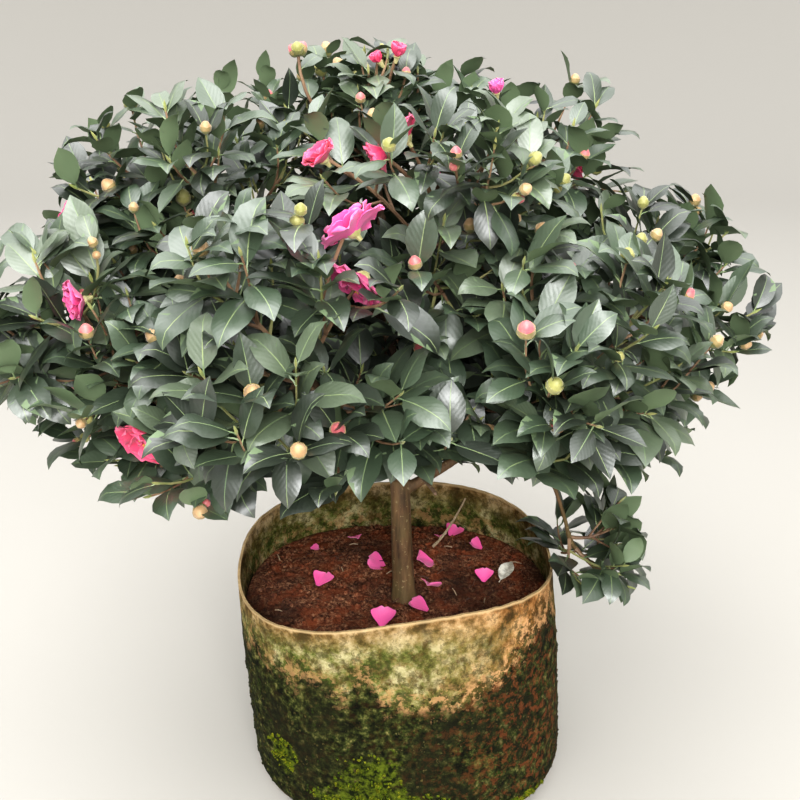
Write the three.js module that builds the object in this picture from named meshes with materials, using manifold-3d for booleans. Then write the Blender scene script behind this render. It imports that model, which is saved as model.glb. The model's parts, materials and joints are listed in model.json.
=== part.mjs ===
import * as THREE from "three";
import { mergeVertices } from "three/addons/utils/BufferGeometryUtils.js";
import Module from "manifold-3d";

// A camellia shrub in a soft felt grow pot. Millimetres, +Z up, origin at the middle of the pot's
// flat underside, +X to the right and +Y to the back of the plant.

// Driving dimensions

const GAP = 0.3;
const SHORTEST_EDGE = 0.012;
const SEED = 23;

const POT = {
  height: 260,
  baseRadius: 181,
  waistRadius: 184,
  rimRadius: 179,
  cornerRadius: 25,
  wall: 3,
  depthRatio: 0.91,
  squareness: 2.35,
  lean: [-16, 8],
  clearance: 7,
  sides: 32,
  rimWaves: [
    { turns: 1, rise: 7, at: 35 },
    { turns: 2, rise: 9, at: -68 },
    { turns: 3, rise: 5, at: -70 },
  ],
};

const SOIL = {
  level: 206,
  mound: 7,
  lump: 2.5,
  clearance: 0.4,
  rows: [0.7, 0.4, 0.15],
  flatFrom: 0.95,
};

const TRUNK = {
  path: [
    [-5, -19, 202],
    [-8, -18, 285],
    [-10, -15, 350],
    [-17, -8, 455],
    [-25, -3, 560],
    [-29, 0, 652],
  ],
  footRadius: 13.4,
  neckRadius: 10.6,
  tipRadius: 4.9,
  flare: 4,
  flareHeight: 34,
  buttresses: 5,
  buttressShare: 0.35,
  sides: 10,
  steps: 9,
};

// The crown's underside rises towards the front, and the drooping spray hangs below it.
const CROWN = {
  middle: [-42, 0],
  depthRatio: 0.92,
  hubHeight: 440,
  top: 833,
  floor: 350,
  frontSlope: 0.42,
  slopeFrom: -50,
  droopFloor: 208,
};

// Each tier is a ring of foliage masses round the crown's middle.
const TIERS = [
  { name: "low", count: 7, reach: 222, height: 436, radius: 116, turn: 25.7, frontRise: 20 },
  { name: "mid", count: 7, reach: 268, height: 556, radius: 130, turn: 0, frontRise: 8 },
  { name: "high", count: 4, reach: 160, height: 668, radius: 124, turn: 22, frontRise: 0 },
  { name: "top", count: 1, reach: 16, height: 724, radius: 96, turn: 90, frontRise: 0 },
];
const DROOP = { name: "droop", at: [200, -22, 276], radius: 66, parent: "bough_low_7" };
const LEAVES_REACH = 1.22;
const UNEVENNESS = { reach: 14, height: 15, radius: 6 };

// Where boughs leave the trunk or their parent bough, and how thick they are at foot and tip.
const BOUGHS = {
  mid: { lowest: 348, highest: 436, radii: [6.2, 3.4], rise: 0.55 },
  high: { lowest: 452, highest: 520, radii: [4.6, 2.8], rise: 0.75 },
  low: { share: 0.36, radii: [4.4, 2.9], rise: 0.1 },
  droop: { share: 0.62, radii: [3, 2.3], rise: 0.15 },
  stride: 3,
  stopShort: 0.52,
  bendAt: 0.42,
  sides: 5,
  steps: 3,
};

const STEM = { radii: [4.8, 4.2], reach: 0.5, bendAt: 0.45, sides: 3, steps: 2 };
const SHOOT = {
  count: 6,
  spread: 118,
  reach: 0.62,
  unevenness: 0.1,
  shortest: 0.3,
  pullIn: 0.08,
  tipMargin: 16,
  radii: [2.2, 2],
  startBehind: 0.7,
  alongStem: [0.1, 0.94],
  swing: 0.21,
  sag: 0.06,
  checked: [0.35, 0.6, 0.8, 1],
  sides: 3,
  steps: 2,
};
const LEAF = {
  length: 88,
  width: 40,
  sunk: 0.8,
  widest: 0.44,
  thickness: 3,
  fold: 4,
  shares: [0.3, 0.58, 0.84, 0.99],
  angle: 60,
  droop: 0.16,
  faceUp: 2,
  unevenness: 0.12,
  offLimbs: 7.5,
  tries: 12,
  turnPerTry: 80,
  shrinkPerTry: 0.025,
  mostCuts: 22,
};
const BUD = { radius: 8, length: 20, widest: 0.4, sunk: 4, sides: 3, share: 0.36 };
const BLOOM = {
  radius: 25,
  depth: 22,
  cup: [[0.45, 0.09], [1, 0.75], [0.55, 1], [0, 0.6]],
  sides: 6,
  sunk: 5,
  free: 6,
};
const BETWEEN_MASSES = 1;
const OFF_LIMBS = 2.5;

// The open blooms: where they stand on the crown, and how large they are against a full bloom.
const BLOOMS = [
  { at: [-53, -248, 691], size: 1.1 },
  { at: [-43, -236, 645], size: 0.7 },
  { at: [-8, -165, 752], size: 0.72 },
  { at: [-26, -178, 737], size: 0.62 },
  { at: [-77, -160, 733], size: 0.55 },
  { at: [-304, -120, 585], size: 0.8 },
  { at: [-236, -190, 487], size: 1.0 },
  { at: [-12, -36, 812], size: 0.5 },
  { at: [-31, -30, 806], size: 0.42 },
  { at: [80, -50, 780], size: 0.5 },
];
const FAR_SIDE_BLOOMS = {
  count: 6,
  from: 12,
  step: 31,
  places: [{ height: 700, reach: 215 }, { height: 560, reach: 335 }, { height: 640, reach: 335 }],
  size: 0.85,
};

const COLOURS = {
  pot: 0x5c5a34,
  soil: 0x4a2b1e,
  bark: 0x6b5d43,
  leaves: [0x3f5a44, 0x48634c, 0x38513f],
};

// Seeded numbers and directions

const GOLDEN_ANGLE = THREE.MathUtils.degToRad(137.508);
const UP = new THREE.Vector3(0, 0, 1);
const vector = (list) => new THREE.Vector3(...list);
const degrees = THREE.MathUtils.degToRad;
const between = THREE.MathUtils.lerp;

// A number from 0 to 1 that is always the same for the same pair of keys.
function draw(key, salt) {
  let bits = Math.imul((SEED * 7919 + key * 131 + salt + 1) | 0, 0x9e3779b1);
  bits = Math.imul(bits ^ (bits >>> 15), 0x85ebca6b);
  bits = Math.imul(bits ^ (bits >>> 13), 0xc2b2ae35);
  return ((bits ^ (bits >>> 16)) >>> 0) / 4294967296;
}

const swing = (key, salt, size) => (draw(key, salt) * 2 - 1) * size;

// Two unit vectors square to the given direction.
function acrossPair(direction) {
  const helper = Math.abs(direction.z) < 0.9 ? UP : new THREE.Vector3(1, 0, 0);
  const first = new THREE.Vector3().crossVectors(helper, direction).normalize();
  const second = new THREE.Vector3().crossVectors(direction, first);
  return [first, second];
}

// A direction at an angle from an axis, turned round it.
function lean(axis, angle, turn) {
  const [first, second] = acrossPair(axis);
  return axis.clone().multiplyScalar(Math.cos(angle))
    .addScaledVector(first, Math.sin(angle) * Math.cos(turn))
    .addScaledVector(second, Math.sin(angle) * Math.sin(turn));
}

// Closed meshes and solids

const wasm = await Module();
wasm.setup();

// Welds a mesh, drops its flattened triangles and turns its faces outwards.
function closedGeometry(source) {
  const bare = new THREE.BufferGeometry().copy(source);
  bare.deleteAttribute("normal");
  bare.deleteAttribute("uv");
  const welded = mergeVertices(bare, 1e-3);
  const place = welded.getAttribute("position");
  const corners = welded.getIndex().array;
  const [a, b, c] = [new THREE.Vector3(), new THREE.Vector3(), new THREE.Vector3()];
  const kept = [];
  let volume = 0;
  for (let i = 0; i < corners.length; i += 3) {
    const [p, q, r] = corners.slice(i, i + 3);
    if (p === q || q === r || r === p) continue;
    kept.push(p, q, r);
    a.fromBufferAttribute(place, p);
    b.fromBufferAttribute(place, q);
    c.fromBufferAttribute(place, r);
    volume += a.dot(b.cross(c));
  }
  welded.setIndex(volume < 0 ? kept.reverse() : kept);
  return welded;
}

function toSolid(geometry) {
  const closed = closedGeometry(geometry);
  return new wasm.Manifold(new wasm.Mesh({
    numProp: 3,
    vertProperties: Float32Array.from(closed.getAttribute("position").array),
    triVerts: Uint32Array.from(closed.getIndex().array),
  }));
}

function toGeometry(solid) {
  const mesh = solid.getMesh();
  const geometry = new THREE.BufferGeometry();
  geometry.setAttribute("position", new THREE.BufferAttribute(mesh.vertProperties, 3));
  geometry.setIndex(new THREE.BufferAttribute(mesh.triVerts, 1));
  return geometry;
}

// True where no edge of a solid is so short that its ends would weld into one.
function hasNoSlivers(solid) {
  const { vertProperties: at, triVerts: corners } = solid.getMesh();
  for (let i = 0; i < corners.length; i += 1) {
    const p = corners[i] * 3;
    const q = corners[i % 3 === 2 ? i - 2 : i + 1] * 3;
    const edge = Math.hypot(at[p] - at[q], at[p + 1] - at[q + 1], at[p + 2] - at[q + 2]);
    if (edge < SHORTEST_EDGE) return false;
  }
  return true;
}

// The largest connected piece of a solid, without the loose scraps.
function withoutScraps(solid) {
  return solid.decompose().reduce((best, piece) => (piece.volume() > best.volume() ? piece : best));
}

// A closed round limb of any taper along a row of points.
class TaperedTubeGeometry extends THREE.BufferGeometry {
  constructor(points, radiusAt, sides) {
    super();
    const places = [];
    const corners = [];
    let first = null;
    points.forEach((point, row) => {
      const ahead = points[Math.min(row + 1, points.length - 1)];
      const behind = points[Math.max(row - 1, 0)];
      const along = new THREE.Vector3().subVectors(ahead, behind).normalize();
      first = first
        ? first.addScaledVector(along, -first.dot(along)).normalize()
        : acrossPair(along)[0];
      const second = new THREE.Vector3().crossVectors(along, first);
      for (let side = 0; side < sides; side += 1) {
        const turn = (side / sides) * Math.PI * 2;
        const radius = radiusAt(row / (points.length - 1), turn, point);
        const place = point.clone()
          .addScaledVector(first, radius * Math.cos(turn))
          .addScaledVector(second, radius * Math.sin(turn));
        places.push(...place.toArray());
      }
    });
    for (let row = 0; row < points.length - 1; row += 1) {
      for (let side = 0; side < sides; side += 1) {
        const here = row * sides + side;
        const next = row * sides + ((side + 1) % sides);
        corners.push(here, next, next + sides, here, next + sides, here + sides);
      }
    }
    const last = (points.length - 1) * sides;
    for (let side = 1; side < sides - 1; side += 1) {
      corners.push(0, side + 1, side);
      corners.push(last, last + side, last + side + 1);
    }
    this.setAttribute("position", new THREE.Float32BufferAttribute(places, 3));
    this.setIndex(corners);
  }
}

// A curve as the straight stretches that its solid is made of.
function inStretches(curve, steps) {
  const path = new THREE.CurvePath();
  const points = curve.getPoints(steps);
  points.slice(1).forEach((point, i) => path.add(new THREE.LineCurve3(points[i], point)));
  return path;
}

const ends = (path) => [path.curves[0].v1, ...path.curves.map((stretch) => stretch.v2)];
const evenTaper = (radii) => (share) => between(radii[0], radii[1], share);

// The felt pot and the soil in it

// Radius of the pot's outer face at a height, with the soft corner at its foot.
function potRadius(height) {
  const waist = Math.sin(Math.PI * Math.min(height / POT.height, 1));
  const straight = between(POT.baseRadius, POT.rimRadius, height / POT.height);
  const bulge = (POT.waistRadius - (POT.baseRadius + POT.rimRadius) / 2) * waist;
  const under = Math.max(1 - height / POT.cornerRadius, 0);
  const corner = POT.cornerRadius * (1 - Math.sqrt(1 - under * under));
  return straight + bulge - corner;
}

// How far the cut rim stands above its mean height at a turn round the pot.
function rimWave(turn) {
  return POT.rimWaves.reduce(
    (sum, wave) => sum + wave.rise * Math.cos(wave.turns * (turn - degrees(wave.at))), 0);
}

// Takes a point of a plain round pot to the soft oval pot that leans and has a wavy rim.
function settle(point) {
  const turn = Math.atan2(point.y, point.x);
  const share = point.z / POT.height;
  const power = POT.squareness;
  const corner = Math.abs(Math.cos(turn)) ** power + Math.abs(Math.sin(turn)) ** power;
  const radius = Math.hypot(point.x, point.y) * corner ** (-1 / power);
  return new THREE.Vector3(
    radius * Math.cos(turn) + POT.lean[0] * share,
    radius * Math.sin(turn) * POT.depthRatio + POT.lean[1] * share,
    point.z + rimWave(turn) * share ** 3);
}

// A turned solid from a profile of radius and height, settled into the pot's shape.
function settledLathe(profile) {
  const geometry = new THREE.LatheGeometry(profile.map(([r, z]) => new THREE.Vector2(r, z)), POT.sides);
  geometry.rotateX(Math.PI / 2);
  const place = geometry.getAttribute("position");
  const point = new THREE.Vector3();
  for (let i = 0; i < place.count; i += 1) {
    const settled = settle(point.fromBufferAttribute(place, i));
    place.setXYZ(i, settled.x, settled.y, settled.z);
  }
  return geometry;
}

const WALL_ROWS = [4, 12, 25, 100, 180];

function potGeometry() {
  const outer = [0, ...WALL_ROWS, 225, POT.height].map((z) => [potRadius(z), z]);
  const inner = [POT.height, 225, SOIL.level, ...WALL_ROWS.toReversed()]
    .map((z) => [potRadius(z) - POT.wall, z]);
  return settledLathe([[0, 0], ...outer, ...inner, [0, WALL_ROWS[0]]]);
}

// Height of the soil's uneven top at a share of the way out to the wall.
function soilTop(share, turn) {
  const lumps = Math.sin(turn * 3 + share * 5) + Math.sin(turn * 5 - share * 8);
  return SOIL.level + SOIL.mound * (1 - share * share) + SOIL.lump * lumps * share * (1 - share) * 2;
}

function soilGeometry() {
  const inset = POT.wall + SOIL.clearance;
  const floor = WALL_ROWS[0] + SOIL.clearance;
  const wall = WALL_ROWS.slice(1).map((z) => [potRadius(z) - inset, z]);
  const edge = potRadius(SOIL.level) - inset;
  const top = SOIL.rows.map((share) => [edge * share, SOIL.level]);
  const geometry = settledLathe([
    [0, floor], [potRadius(floor) - inset, floor], ...wall,
    [edge, SOIL.level], ...top, [0, SOIL.level],
  ]);
  const place = geometry.getAttribute("position");
  const centre = settle(new THREE.Vector3(0, 0, SOIL.level));
  for (let i = 0; i < place.count; i += 1) {
    const [x, y, z] = [place.getX(i) - centre.x, place.getY(i) - centre.y, place.getZ(i)];
    const turn = Math.atan2(y, x);
    const out = settle(new THREE.Vector3(edge * Math.cos(turn), edge * Math.sin(turn), SOIL.level));
    const share = Math.min(Math.hypot(x, y) / Math.hypot(out.x - centre.x, out.y - centre.y), 1);
    const onTop = z > SOIL.level - POT.cornerRadius;
    if (onTop && share < SOIL.flatFrom) place.setZ(i, soilTop(share, turn));
  }
  return geometry;
}

// The trunk

const trunkCurve = new THREE.CatmullRomCurve3(TRUNK.path.map(vector));

function trunkRadius(share, turn, point, extra) {
  const height = point.z - TRUNK.path[0][2];
  const neck = TRUNK.path[2][2] - TRUNK.path[0][2];
  const full = TRUNK.path.at(-1)[2] - TRUNK.path[0][2];
  const straight = height < neck
    ? between(TRUNK.footRadius, TRUNK.neckRadius, height / neck)
    : between(TRUNK.neckRadius, TRUNK.tipRadius, (height - neck) / (full - neck));
  const flare = Math.max(1 - height / TRUNK.flareHeight, 0) ** 2 * TRUNK.flare;
  const buttress = 1 + TRUNK.buttressShare * Math.cos(TRUNK.buttresses * turn);
  return straight + flare * buttress + extra;
}

function trunkGeometry(extra) {
  const points = trunkCurve.getPoints(TRUNK.steps);
  points[0].z -= extra;
  points.at(-1).z += extra;
  return new TaperedTubeGeometry(points, (s, t, p) => trunkRadius(s, t, p, extra), TRUNK.sides);
}

// The trunk's middle at a height.
function trunkAt(height) {
  const points = trunkCurve.getPoints(TRUNK.steps * 8);
  return points.reduce((best, p) => (Math.abs(p.z - height) < Math.abs(best.z - height) ? p : best));
}

// The spaces of the foliage masses

function ringOfSpaces(tier, tierIndex) {
  return Array.from({ length: tier.count }, (_, i) => {
    const key = tierIndex * 20 + i;
    const turn = degrees(tier.turn + (360 / tier.count) * i);
    const reach = tier.reach + swing(key, 1, UNEVENNESS.reach);
    return {
      name: `${tier.name}_${i + 1}`,
      tier: tier.name,
      key,
      centre: new THREE.Vector3(
        CROWN.middle[0] + reach * Math.cos(turn),
        CROWN.middle[1] + reach * Math.sin(turn) * CROWN.depthRatio,
        tier.height - tier.frontRise * Math.sin(turn) + swing(key, 2, UNEVENNESS.height)),
      radius: tier.radius + swing(key, 3, UNEVENNESS.radius),
    };
  });
}

const spaces = TIERS.flatMap(ringOfSpaces);
spaces.push({
  name: DROOP.name, tier: DROOP.name, key: 99, centre: vector(DROOP.at), radius: DROOP.radius,
});

const hub = new THREE.Vector3(CROWN.middle[0], CROWN.middle[1], CROWN.hubHeight);

// How far a point lies inside a space's own share of the crown, in millimetres.
function depthInside(point, space) {
  const own = point.distanceToSquared(space.centre) - space.radius ** 2;
  return spaces.reduce((least, other) => {
    if (other === space) return least;
    const theirs = point.distanceToSquared(other.centre) - other.radius ** 2;
    return Math.min(least, (theirs - own) / (2 * other.centre.distanceTo(space.centre)));
  }, Infinity);
}

// Blooms on the far side of the crown follow a rule, as the near ones have places of their own.
function farSideBlooms() {
  return Array.from({ length: FAR_SIDE_BLOOMS.count }, (_, i) => {
    const turn = degrees(FAR_SIDE_BLOOMS.from + FAR_SIDE_BLOOMS.step * i);
    const { height, reach } = FAR_SIDE_BLOOMS.places[i % FAR_SIDE_BLOOMS.places.length];
    return {
      at: [
        CROWN.middle[0] + reach * Math.cos(turn),
        CROWN.middle[1] + reach * Math.sin(turn) * CROWN.depthRatio,
        height,
      ],
      size: FAR_SIDE_BLOOMS.size,
    };
  });
}

const blooms = [...BLOOMS, ...farSideBlooms()].map(({ at, size }) => {
  const place = vector(at);
  const home = spaces.reduce((best, space) => (
    depthInside(place, space) > depthInside(place, best) ? space : best));
  return { at: place, size, home };
});

// The filled pot grown by a clearance: nothing that hangs over the rim comes into it.
const potKeepOut = toSolid(settledLathe([
  [0, 0], [POT.waistRadius + POT.clearance, 0],
  [POT.waistRadius + POT.clearance, POT.height + POT.clearance], [0, POT.height + POT.clearance],
]));

function clearOfPot(solid) {
  return solid.intersect(potKeepOut).isEmpty();
}

// True where a point leaves every open bloom free.
function clearOfBlooms(point) {
  return blooms.every((bloom) => point.distanceTo(bloom.at) > BLOOM.radius * bloom.size + BLOOM.free);
}

function crownFloor(point) {
  return CROWN.floor + CROWN.frontSlope * Math.max(CROWN.slopeFrom - point.y, 0);
}

function insideSpace(point, space) {
  return depthInside(point, space) > BETWEEN_MASSES
    && clearOfBlooms(point)
    && point.distanceTo(space.centre) < space.radius * LEAVES_REACH
    && point.z < CROWN.top
    && point.z > (space.tier === DROOP.name ? CROWN.droopFloor : crownFloor(point));
}

// Boughs

// A bough leaves its parent at a slant, bends over and stops short of its mass's middle.
function boughPath(start, space, rise) {
  const towards = new THREE.Vector3().subVectors(space.centre, start);
  const end = space.centre.clone().addScaledVector(towards.clone().normalize(),
    -BOUGHS.stopShort * space.radius);
  const span = end.distanceTo(start);
  const flat = towards.clone().setZ(0).normalize();
  const bend = start.clone().addScaledVector(flat, span * BOUGHS.bendAt);
  bend.z += span * rise * BOUGHS.bendAt;
  return new THREE.QuadraticBezierCurve3(start, bend, end);
}

function makeBough(name, start, space, spec, parent) {
  const curve = boughPath(start, space, spec.rise);
  const points = curve.getPoints(BOUGHS.steps);
  return { name, curve, points, radii: spec.radii, parent, space };
}

const trunkLimb = {
  name: "trunk",
  points: trunkCurve.getPoints(TRUNK.steps),
  radii: [TRUNK.footRadius, TRUNK.tipRadius],
};
const boughs = [];

// Boughs of one tier leave the trunk one above another, in steps that keep neighbours apart.
function boughsFromTrunk(tierName, spec) {
  const ring = spaces.filter((space) => space.tier === tierName);
  ring.forEach((space, i) => {
    const step = ((i * BOUGHS.stride) % ring.length) / (ring.length - 1);
    const start = trunkAt(between(spec.lowest, spec.highest, step));
    boughs.push(makeBough(`bough_${space.name}`, start, space, spec, trunkLimb));
  });
}

boughsFromTrunk("mid", BOUGHS.mid);
boughsFromTrunk("high", BOUGHS.high);
spaces.filter((space) => space.tier === "low").forEach((space, i) => {
  const parent = boughs[i];
  const start = parent.curve.getPoint(BOUGHS.low.share);
  boughs.push(makeBough(`bough_${space.name}`, start, space, BOUGHS.low, parent));
});
const droopParent = boughs.find((bough) => bough.name === DROOP.parent);
boughs.push(makeBough(`bough_${DROOP.name}`, droopParent.curve.getPoint(BOUGHS.droop.share),
  spaces.at(-1), BOUGHS.droop, droopParent));

const limbs = [trunkLimb, ...boughs];

function limbRadius(limb, share) {
  return between(limb.radii[0], limb.radii[1], share);
}

// A limb as a solid, grown all round by a clearance where it is used to cut a seat.
function limbSolid(limb, extra) {
  if (limb === trunkLimb) return toSolid(trunkGeometry(extra));
  const radii = limb.radii.map((radius) => radius + extra);
  const points = limb.points.map((point) => point.clone());
  const [last, tip] = points.slice(-2);
  tip.addScaledVector(tip.clone().sub(last).normalize(), extra);
  return toSolid(new TaperedTubeGeometry(points, evenTaper(radii), BOUGHS.sides));
}

// The least distance from a point to the bark of any limb.
function distanceToLimbs(point) {
  const nearest = new THREE.Vector3();
  let least = Infinity;
  for (const limb of limbs) {
    for (let i = 0; i < limb.points.length - 1; i += 1) {
      const stretch = new THREE.Line3(limb.points[i], limb.points[i + 1]);
      const along = stretch.closestPointToPointParameter(point, true);
      stretch.at(along, nearest);
      const radius = limbRadius(limb, (i + along) / (limb.points.length - 1));
      least = Math.min(least, nearest.distanceTo(point) - radius);
    }
  }
  return least;
}

// Growth inside one space

// The stem carries on from the bough's tip, or from the trunk's, towards the outside of its space.
function growStem(space) {
  const bough = boughs.find((limb) => limb.space === space);
  const limbCurve = bough ? bough.curve : trunkCurve;
  const tip = limbCurve.getPoint(1);
  const ahead = limbCurve.getTangent(1);
  const outward = new THREE.Vector3().subVectors(space.centre, space.tier === DROOP.name ? tip : hub);
  outward.normalize();
  const start = tip.clone().addScaledVector(ahead, GAP / 2);
  const end = space.centre.clone().addScaledVector(outward, space.radius * STEM.reach);
  const bend = start.clone().addScaledVector(ahead, start.distanceTo(end) * STEM.bendAt);
  const curve = inStretches(new THREE.QuadraticBezierCurve3(start, bend, end), STEM.steps);
  return { curve, outward, limb: bough ?? trunkLimb };
}

// Tips of the shoots: spread by the golden angle over a cap round the space's outward direction.
function shootTips(space, outward) {
  const tips = [];
  const cap = 1 - Math.cos(degrees(SHOOT.spread));
  for (let i = 0; i < SHOOT.count; i += 1) {
    const angle = Math.acos(1 - cap * ((i + 0.5) / SHOOT.count));
    const way = lean(outward, angle, i * GOLDEN_ANGLE + space.key);
    let reach = SHOOT.reach * (1 + swing(space.key, 20 + i, SHOOT.unevenness));
    let tip = space.centre.clone().addScaledVector(way, space.radius * reach);
    while (reach > SHOOT.shortest && depthInside(tip, space) < SHOOT.tipMargin) {
      reach -= SHOOT.pullIn;
      tip = space.centre.clone().addScaledVector(way, space.radius * reach);
    }
    if (reach > SHOOT.shortest) tips.push({ at: tip, key: i });
  }
  return tips;
}

// A shoot leaves the stem ahead of its tip's foot, at a slant, and bends up towards its tip.
function growShoot(stem, tip) {
  let foot = { distance: Infinity, share: 0 };
  for (let share = 0; share <= 1; share += 0.05) {
    const distance = stem.curve.getPoint(share).distanceTo(tip.at);
    if (distance < foot.distance) foot = { distance, share };
  }
  const behind = (foot.distance * SHOOT.startBehind) / stem.curve.getLength();
  const share = THREE.MathUtils.clamp(foot.share - behind, ...SHOOT.alongStem);
  const start = stem.curve.getPoint(share);
  const ahead = stem.curve.getTangent(share);
  const span = start.distanceTo(tip.at);
  const bend = start.clone().lerp(tip.at, 0.5).addScaledVector(ahead, span * SHOOT.swing);
  bend.z -= span * SHOOT.sag;
  return inStretches(new THREE.QuadraticBezierCurve3(start, bend, tip.at), SHOOT.steps);
}

// A leaf's blade: how it points, its two widest points, its tip and its midrib between them.
function makeBlade(root, way, face, size) {
  const side = new THREE.Vector3().crossVectors(way, face).normalize();
  const at = (along, across, up) => root.clone()
    .addScaledVector(way, along * size)
    .addScaledVector(side, across * size)
    .addScaledVector(face, up * size);
  const widest = LEAF.length * LEAF.widest;
  return {
    foot: at(-LEAF.sunk, 0, 0),
    left: at(widest, LEAF.width / 2, LEAF.fold),
    tip: at(LEAF.length, 0, 0),
    right: at(widest, -LEAF.width / 2, LEAF.fold),
    top: at(widest, 0, LEAF.thickness / 2),
    underside: at(widest, 0, -LEAF.thickness / 2),
  };
}

// A blade that leaves its shoot at an angle, hangs a little and faces along the shoot and upwards.
function leanBlade(root, along, turn, size) {
  const way = lean(along, degrees(LEAF.angle), turn);
  way.z -= LEAF.droop;
  way.normalize();
  const face = along.clone().addScaledVector(UP, LEAF.faceUp);
  face.addScaledVector(way, -face.dot(way)).normalize();
  return makeBlade(root, way, face, size);
}

function leafSize(space, tipKey, i) {
  return 1 + swing(space.key * 40 + tipKey, 60 + i, LEAF.unevenness);
}

// The folded blade has eight faces: its four edges joined to the midrib's top and underside.
function leafGeometry({ foot, left, tip, right, top, underside }) {
  const geometry = new THREE.BufferGeometry();
  geometry.setFromPoints([foot, left, tip, right, top, underside]);
  geometry.setIndex([
    4, 0, 1, 4, 1, 2, 4, 2, 3, 4, 3, 0,
    5, 1, 0, 5, 2, 1, 5, 3, 2, 5, 0, 3,
  ]);
  return geometry;
}

function bladeFits({ left, right, tip, top }, space) {
  const outerHalf = top.clone().lerp(tip, 0.5);
  const checked = [left, right, tip, top, outerHalf];
  return checked.every((point) => insideSpace(point, space))
    && checked.every((point) => distanceToLimbs(point) > LEAF.offLimbs)
    && distanceToLimbs(top) > LEAF.width / 2;
}

// A turned solid from a profile of radius and height, standing on a root in any direction.
function standing(profile, sides, root, way) {
  const geometry = new THREE.LatheGeometry(profile.map(([r, z]) => new THREE.Vector2(r, z)), sides);
  geometry.applyQuaternion(new THREE.Quaternion().setFromUnitVectors(new THREE.Vector3(0, 1, 0), way));
  return geometry.translate(...root.toArray());
}

// A bud: a small spindle on its shoot's tip.
function budGeometry(root, way) {
  const profile = [[0, -BUD.sunk], [BUD.radius, BUD.length * BUD.widest], [0, BUD.length]];
  return standing(profile, BUD.sides, root, way);
}

// An open bloom: a shallow cup of petals seen as one solid.
function bloomGeometry(root, way, size) {
  const cup = BLOOM.cup.map(([r, z]) => [r * BLOOM.radius * size, z * BLOOM.depth * size]);
  return standing([[0, -BLOOM.sunk * size], ...cup], BLOOM.sides, root, way);
}

// The shoot whose tip is nearest to a bloom's place grows to the bloom instead.
function steerToBlooms(tips, space) {
  blooms.filter((bloom) => bloom.home === space).forEach((bloom) => {
    const free = tips.filter((tip) => !tip.bloom);
    const nearest = free.reduce((best, tip) => (
      tip.at.distanceTo(bloom.at) < best.at.distanceTo(bloom.at) ? tip : best));
    nearest.bloom = bloom;
    nearest.at = bloom.at.clone();
  });
  return tips;
}

function shootFits(shoot, space, ownBloom) {
  return SHOOT.checked.every((share) => {
    const point = shoot.getPoint(share);
    return (point.z > crownFloor(point) || space.tier === DROOP.name)
      && distanceToLimbs(point) > OFF_LIMBS + SHOOT.radii[0]
      && depthInside(point, space) > BETWEEN_MASSES * 2
      && (ownBloom || clearOfBlooms(point));
  });
}

// Adds a leaf, turned round its shoot until it fits its space and crosses no other leaf.
function withLeaf(solid, space, shoot, tipKey, i) {
  const share = LEAF.shares[i];
  const along = shoot.getTangent(share);
  for (let attempt = 0; attempt < LEAF.tries; attempt += 1) {
    const turn = (i + tipKey * 3) * GOLDEN_ANGLE + space.key + degrees(attempt * LEAF.turnPerTry);
    const size = leafSize(space, tipKey, i) * (1 - attempt * LEAF.shrinkPerTry);
    const blade = leanBlade(shoot.getPoint(share), along, turn, size);
    const leaf = toSolid(leafGeometry(blade));
    if (bladeFits(blade, space) && clearOfPot(leaf)) {
      const joined = solid.add(leaf);
      const crossings = joined.numTri() - solid.numTri();
      if (crossings <= LEAF.mostCuts && hasNoSlivers(joined)) return joined;
    }
  }
  return solid;
}

function massSolid(space) {
  const stem = growStem(space);
  let solid = toSolid(new TaperedTubeGeometry(ends(stem.curve), evenTaper(STEM.radii), STEM.sides));
  for (const tip of steerToBlooms(shootTips(space, stem.outward), space)) {
    const shoot = growShoot(stem, tip);
    const twig = toSolid(new TaperedTubeGeometry(ends(shoot), evenTaper(SHOOT.radii), SHOOT.sides));
    if (!shootFits(shoot, space, tip.bloom) || !clearOfPot(twig)) continue;
    solid = solid.add(twig);
    const way = shoot.getTangent(1);
    const hasBud = !tip.bloom && draw(space.key, 80 + tip.key) < BUD.share;
    if (tip.bloom) solid = solid.add(toSolid(bloomGeometry(tip.at, way, tip.bloom.size)));
    if (hasBud) solid = solid.add(toSolid(budGeometry(tip.at, way)));
    for (let i = 0; i < LEAF.shares.length; i += 1) solid = withLeaf(solid, space, shoot, tip.key, i);
  }
  return withoutScraps(solid.subtract(limbSolid(stem.limb, GAP)));
}

// The shrub, piece by piece

const shrub = new THREE.Group();

function addPiece(name, geometry, colour, roughness) {
  const material = new THREE.MeshStandardMaterial({ color: colour, roughness, metalness: 0 });
  const mesh = new THREE.Mesh(geometry, material);
  mesh.name = name;
  shrub.add(mesh);
}

addPiece("pot", closedGeometry(potGeometry()), COLOURS.pot, 0.95);
addPiece("soil", toGeometry(toSolid(soilGeometry()).subtract(limbSolid(trunkLimb, GAP))),
  COLOURS.soil, 1);
addPiece("trunk", closedGeometry(trunkGeometry(0)), COLOURS.bark, 0.85);

for (const bough of boughs) {
  const solid = limbSolid(bough, 0).subtract(limbSolid(bough.parent, GAP));
  addPiece(bough.name, toGeometry(withoutScraps(solid)), COLOURS.bark, 0.8);
}

spaces.forEach((space, i) => {
  addPiece(`foliage_${space.name}`, toGeometry(massSolid(space)),
    COLOURS.leaves[i % COLOURS.leaves.length], 0.45);
});

export default shrub;
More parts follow.
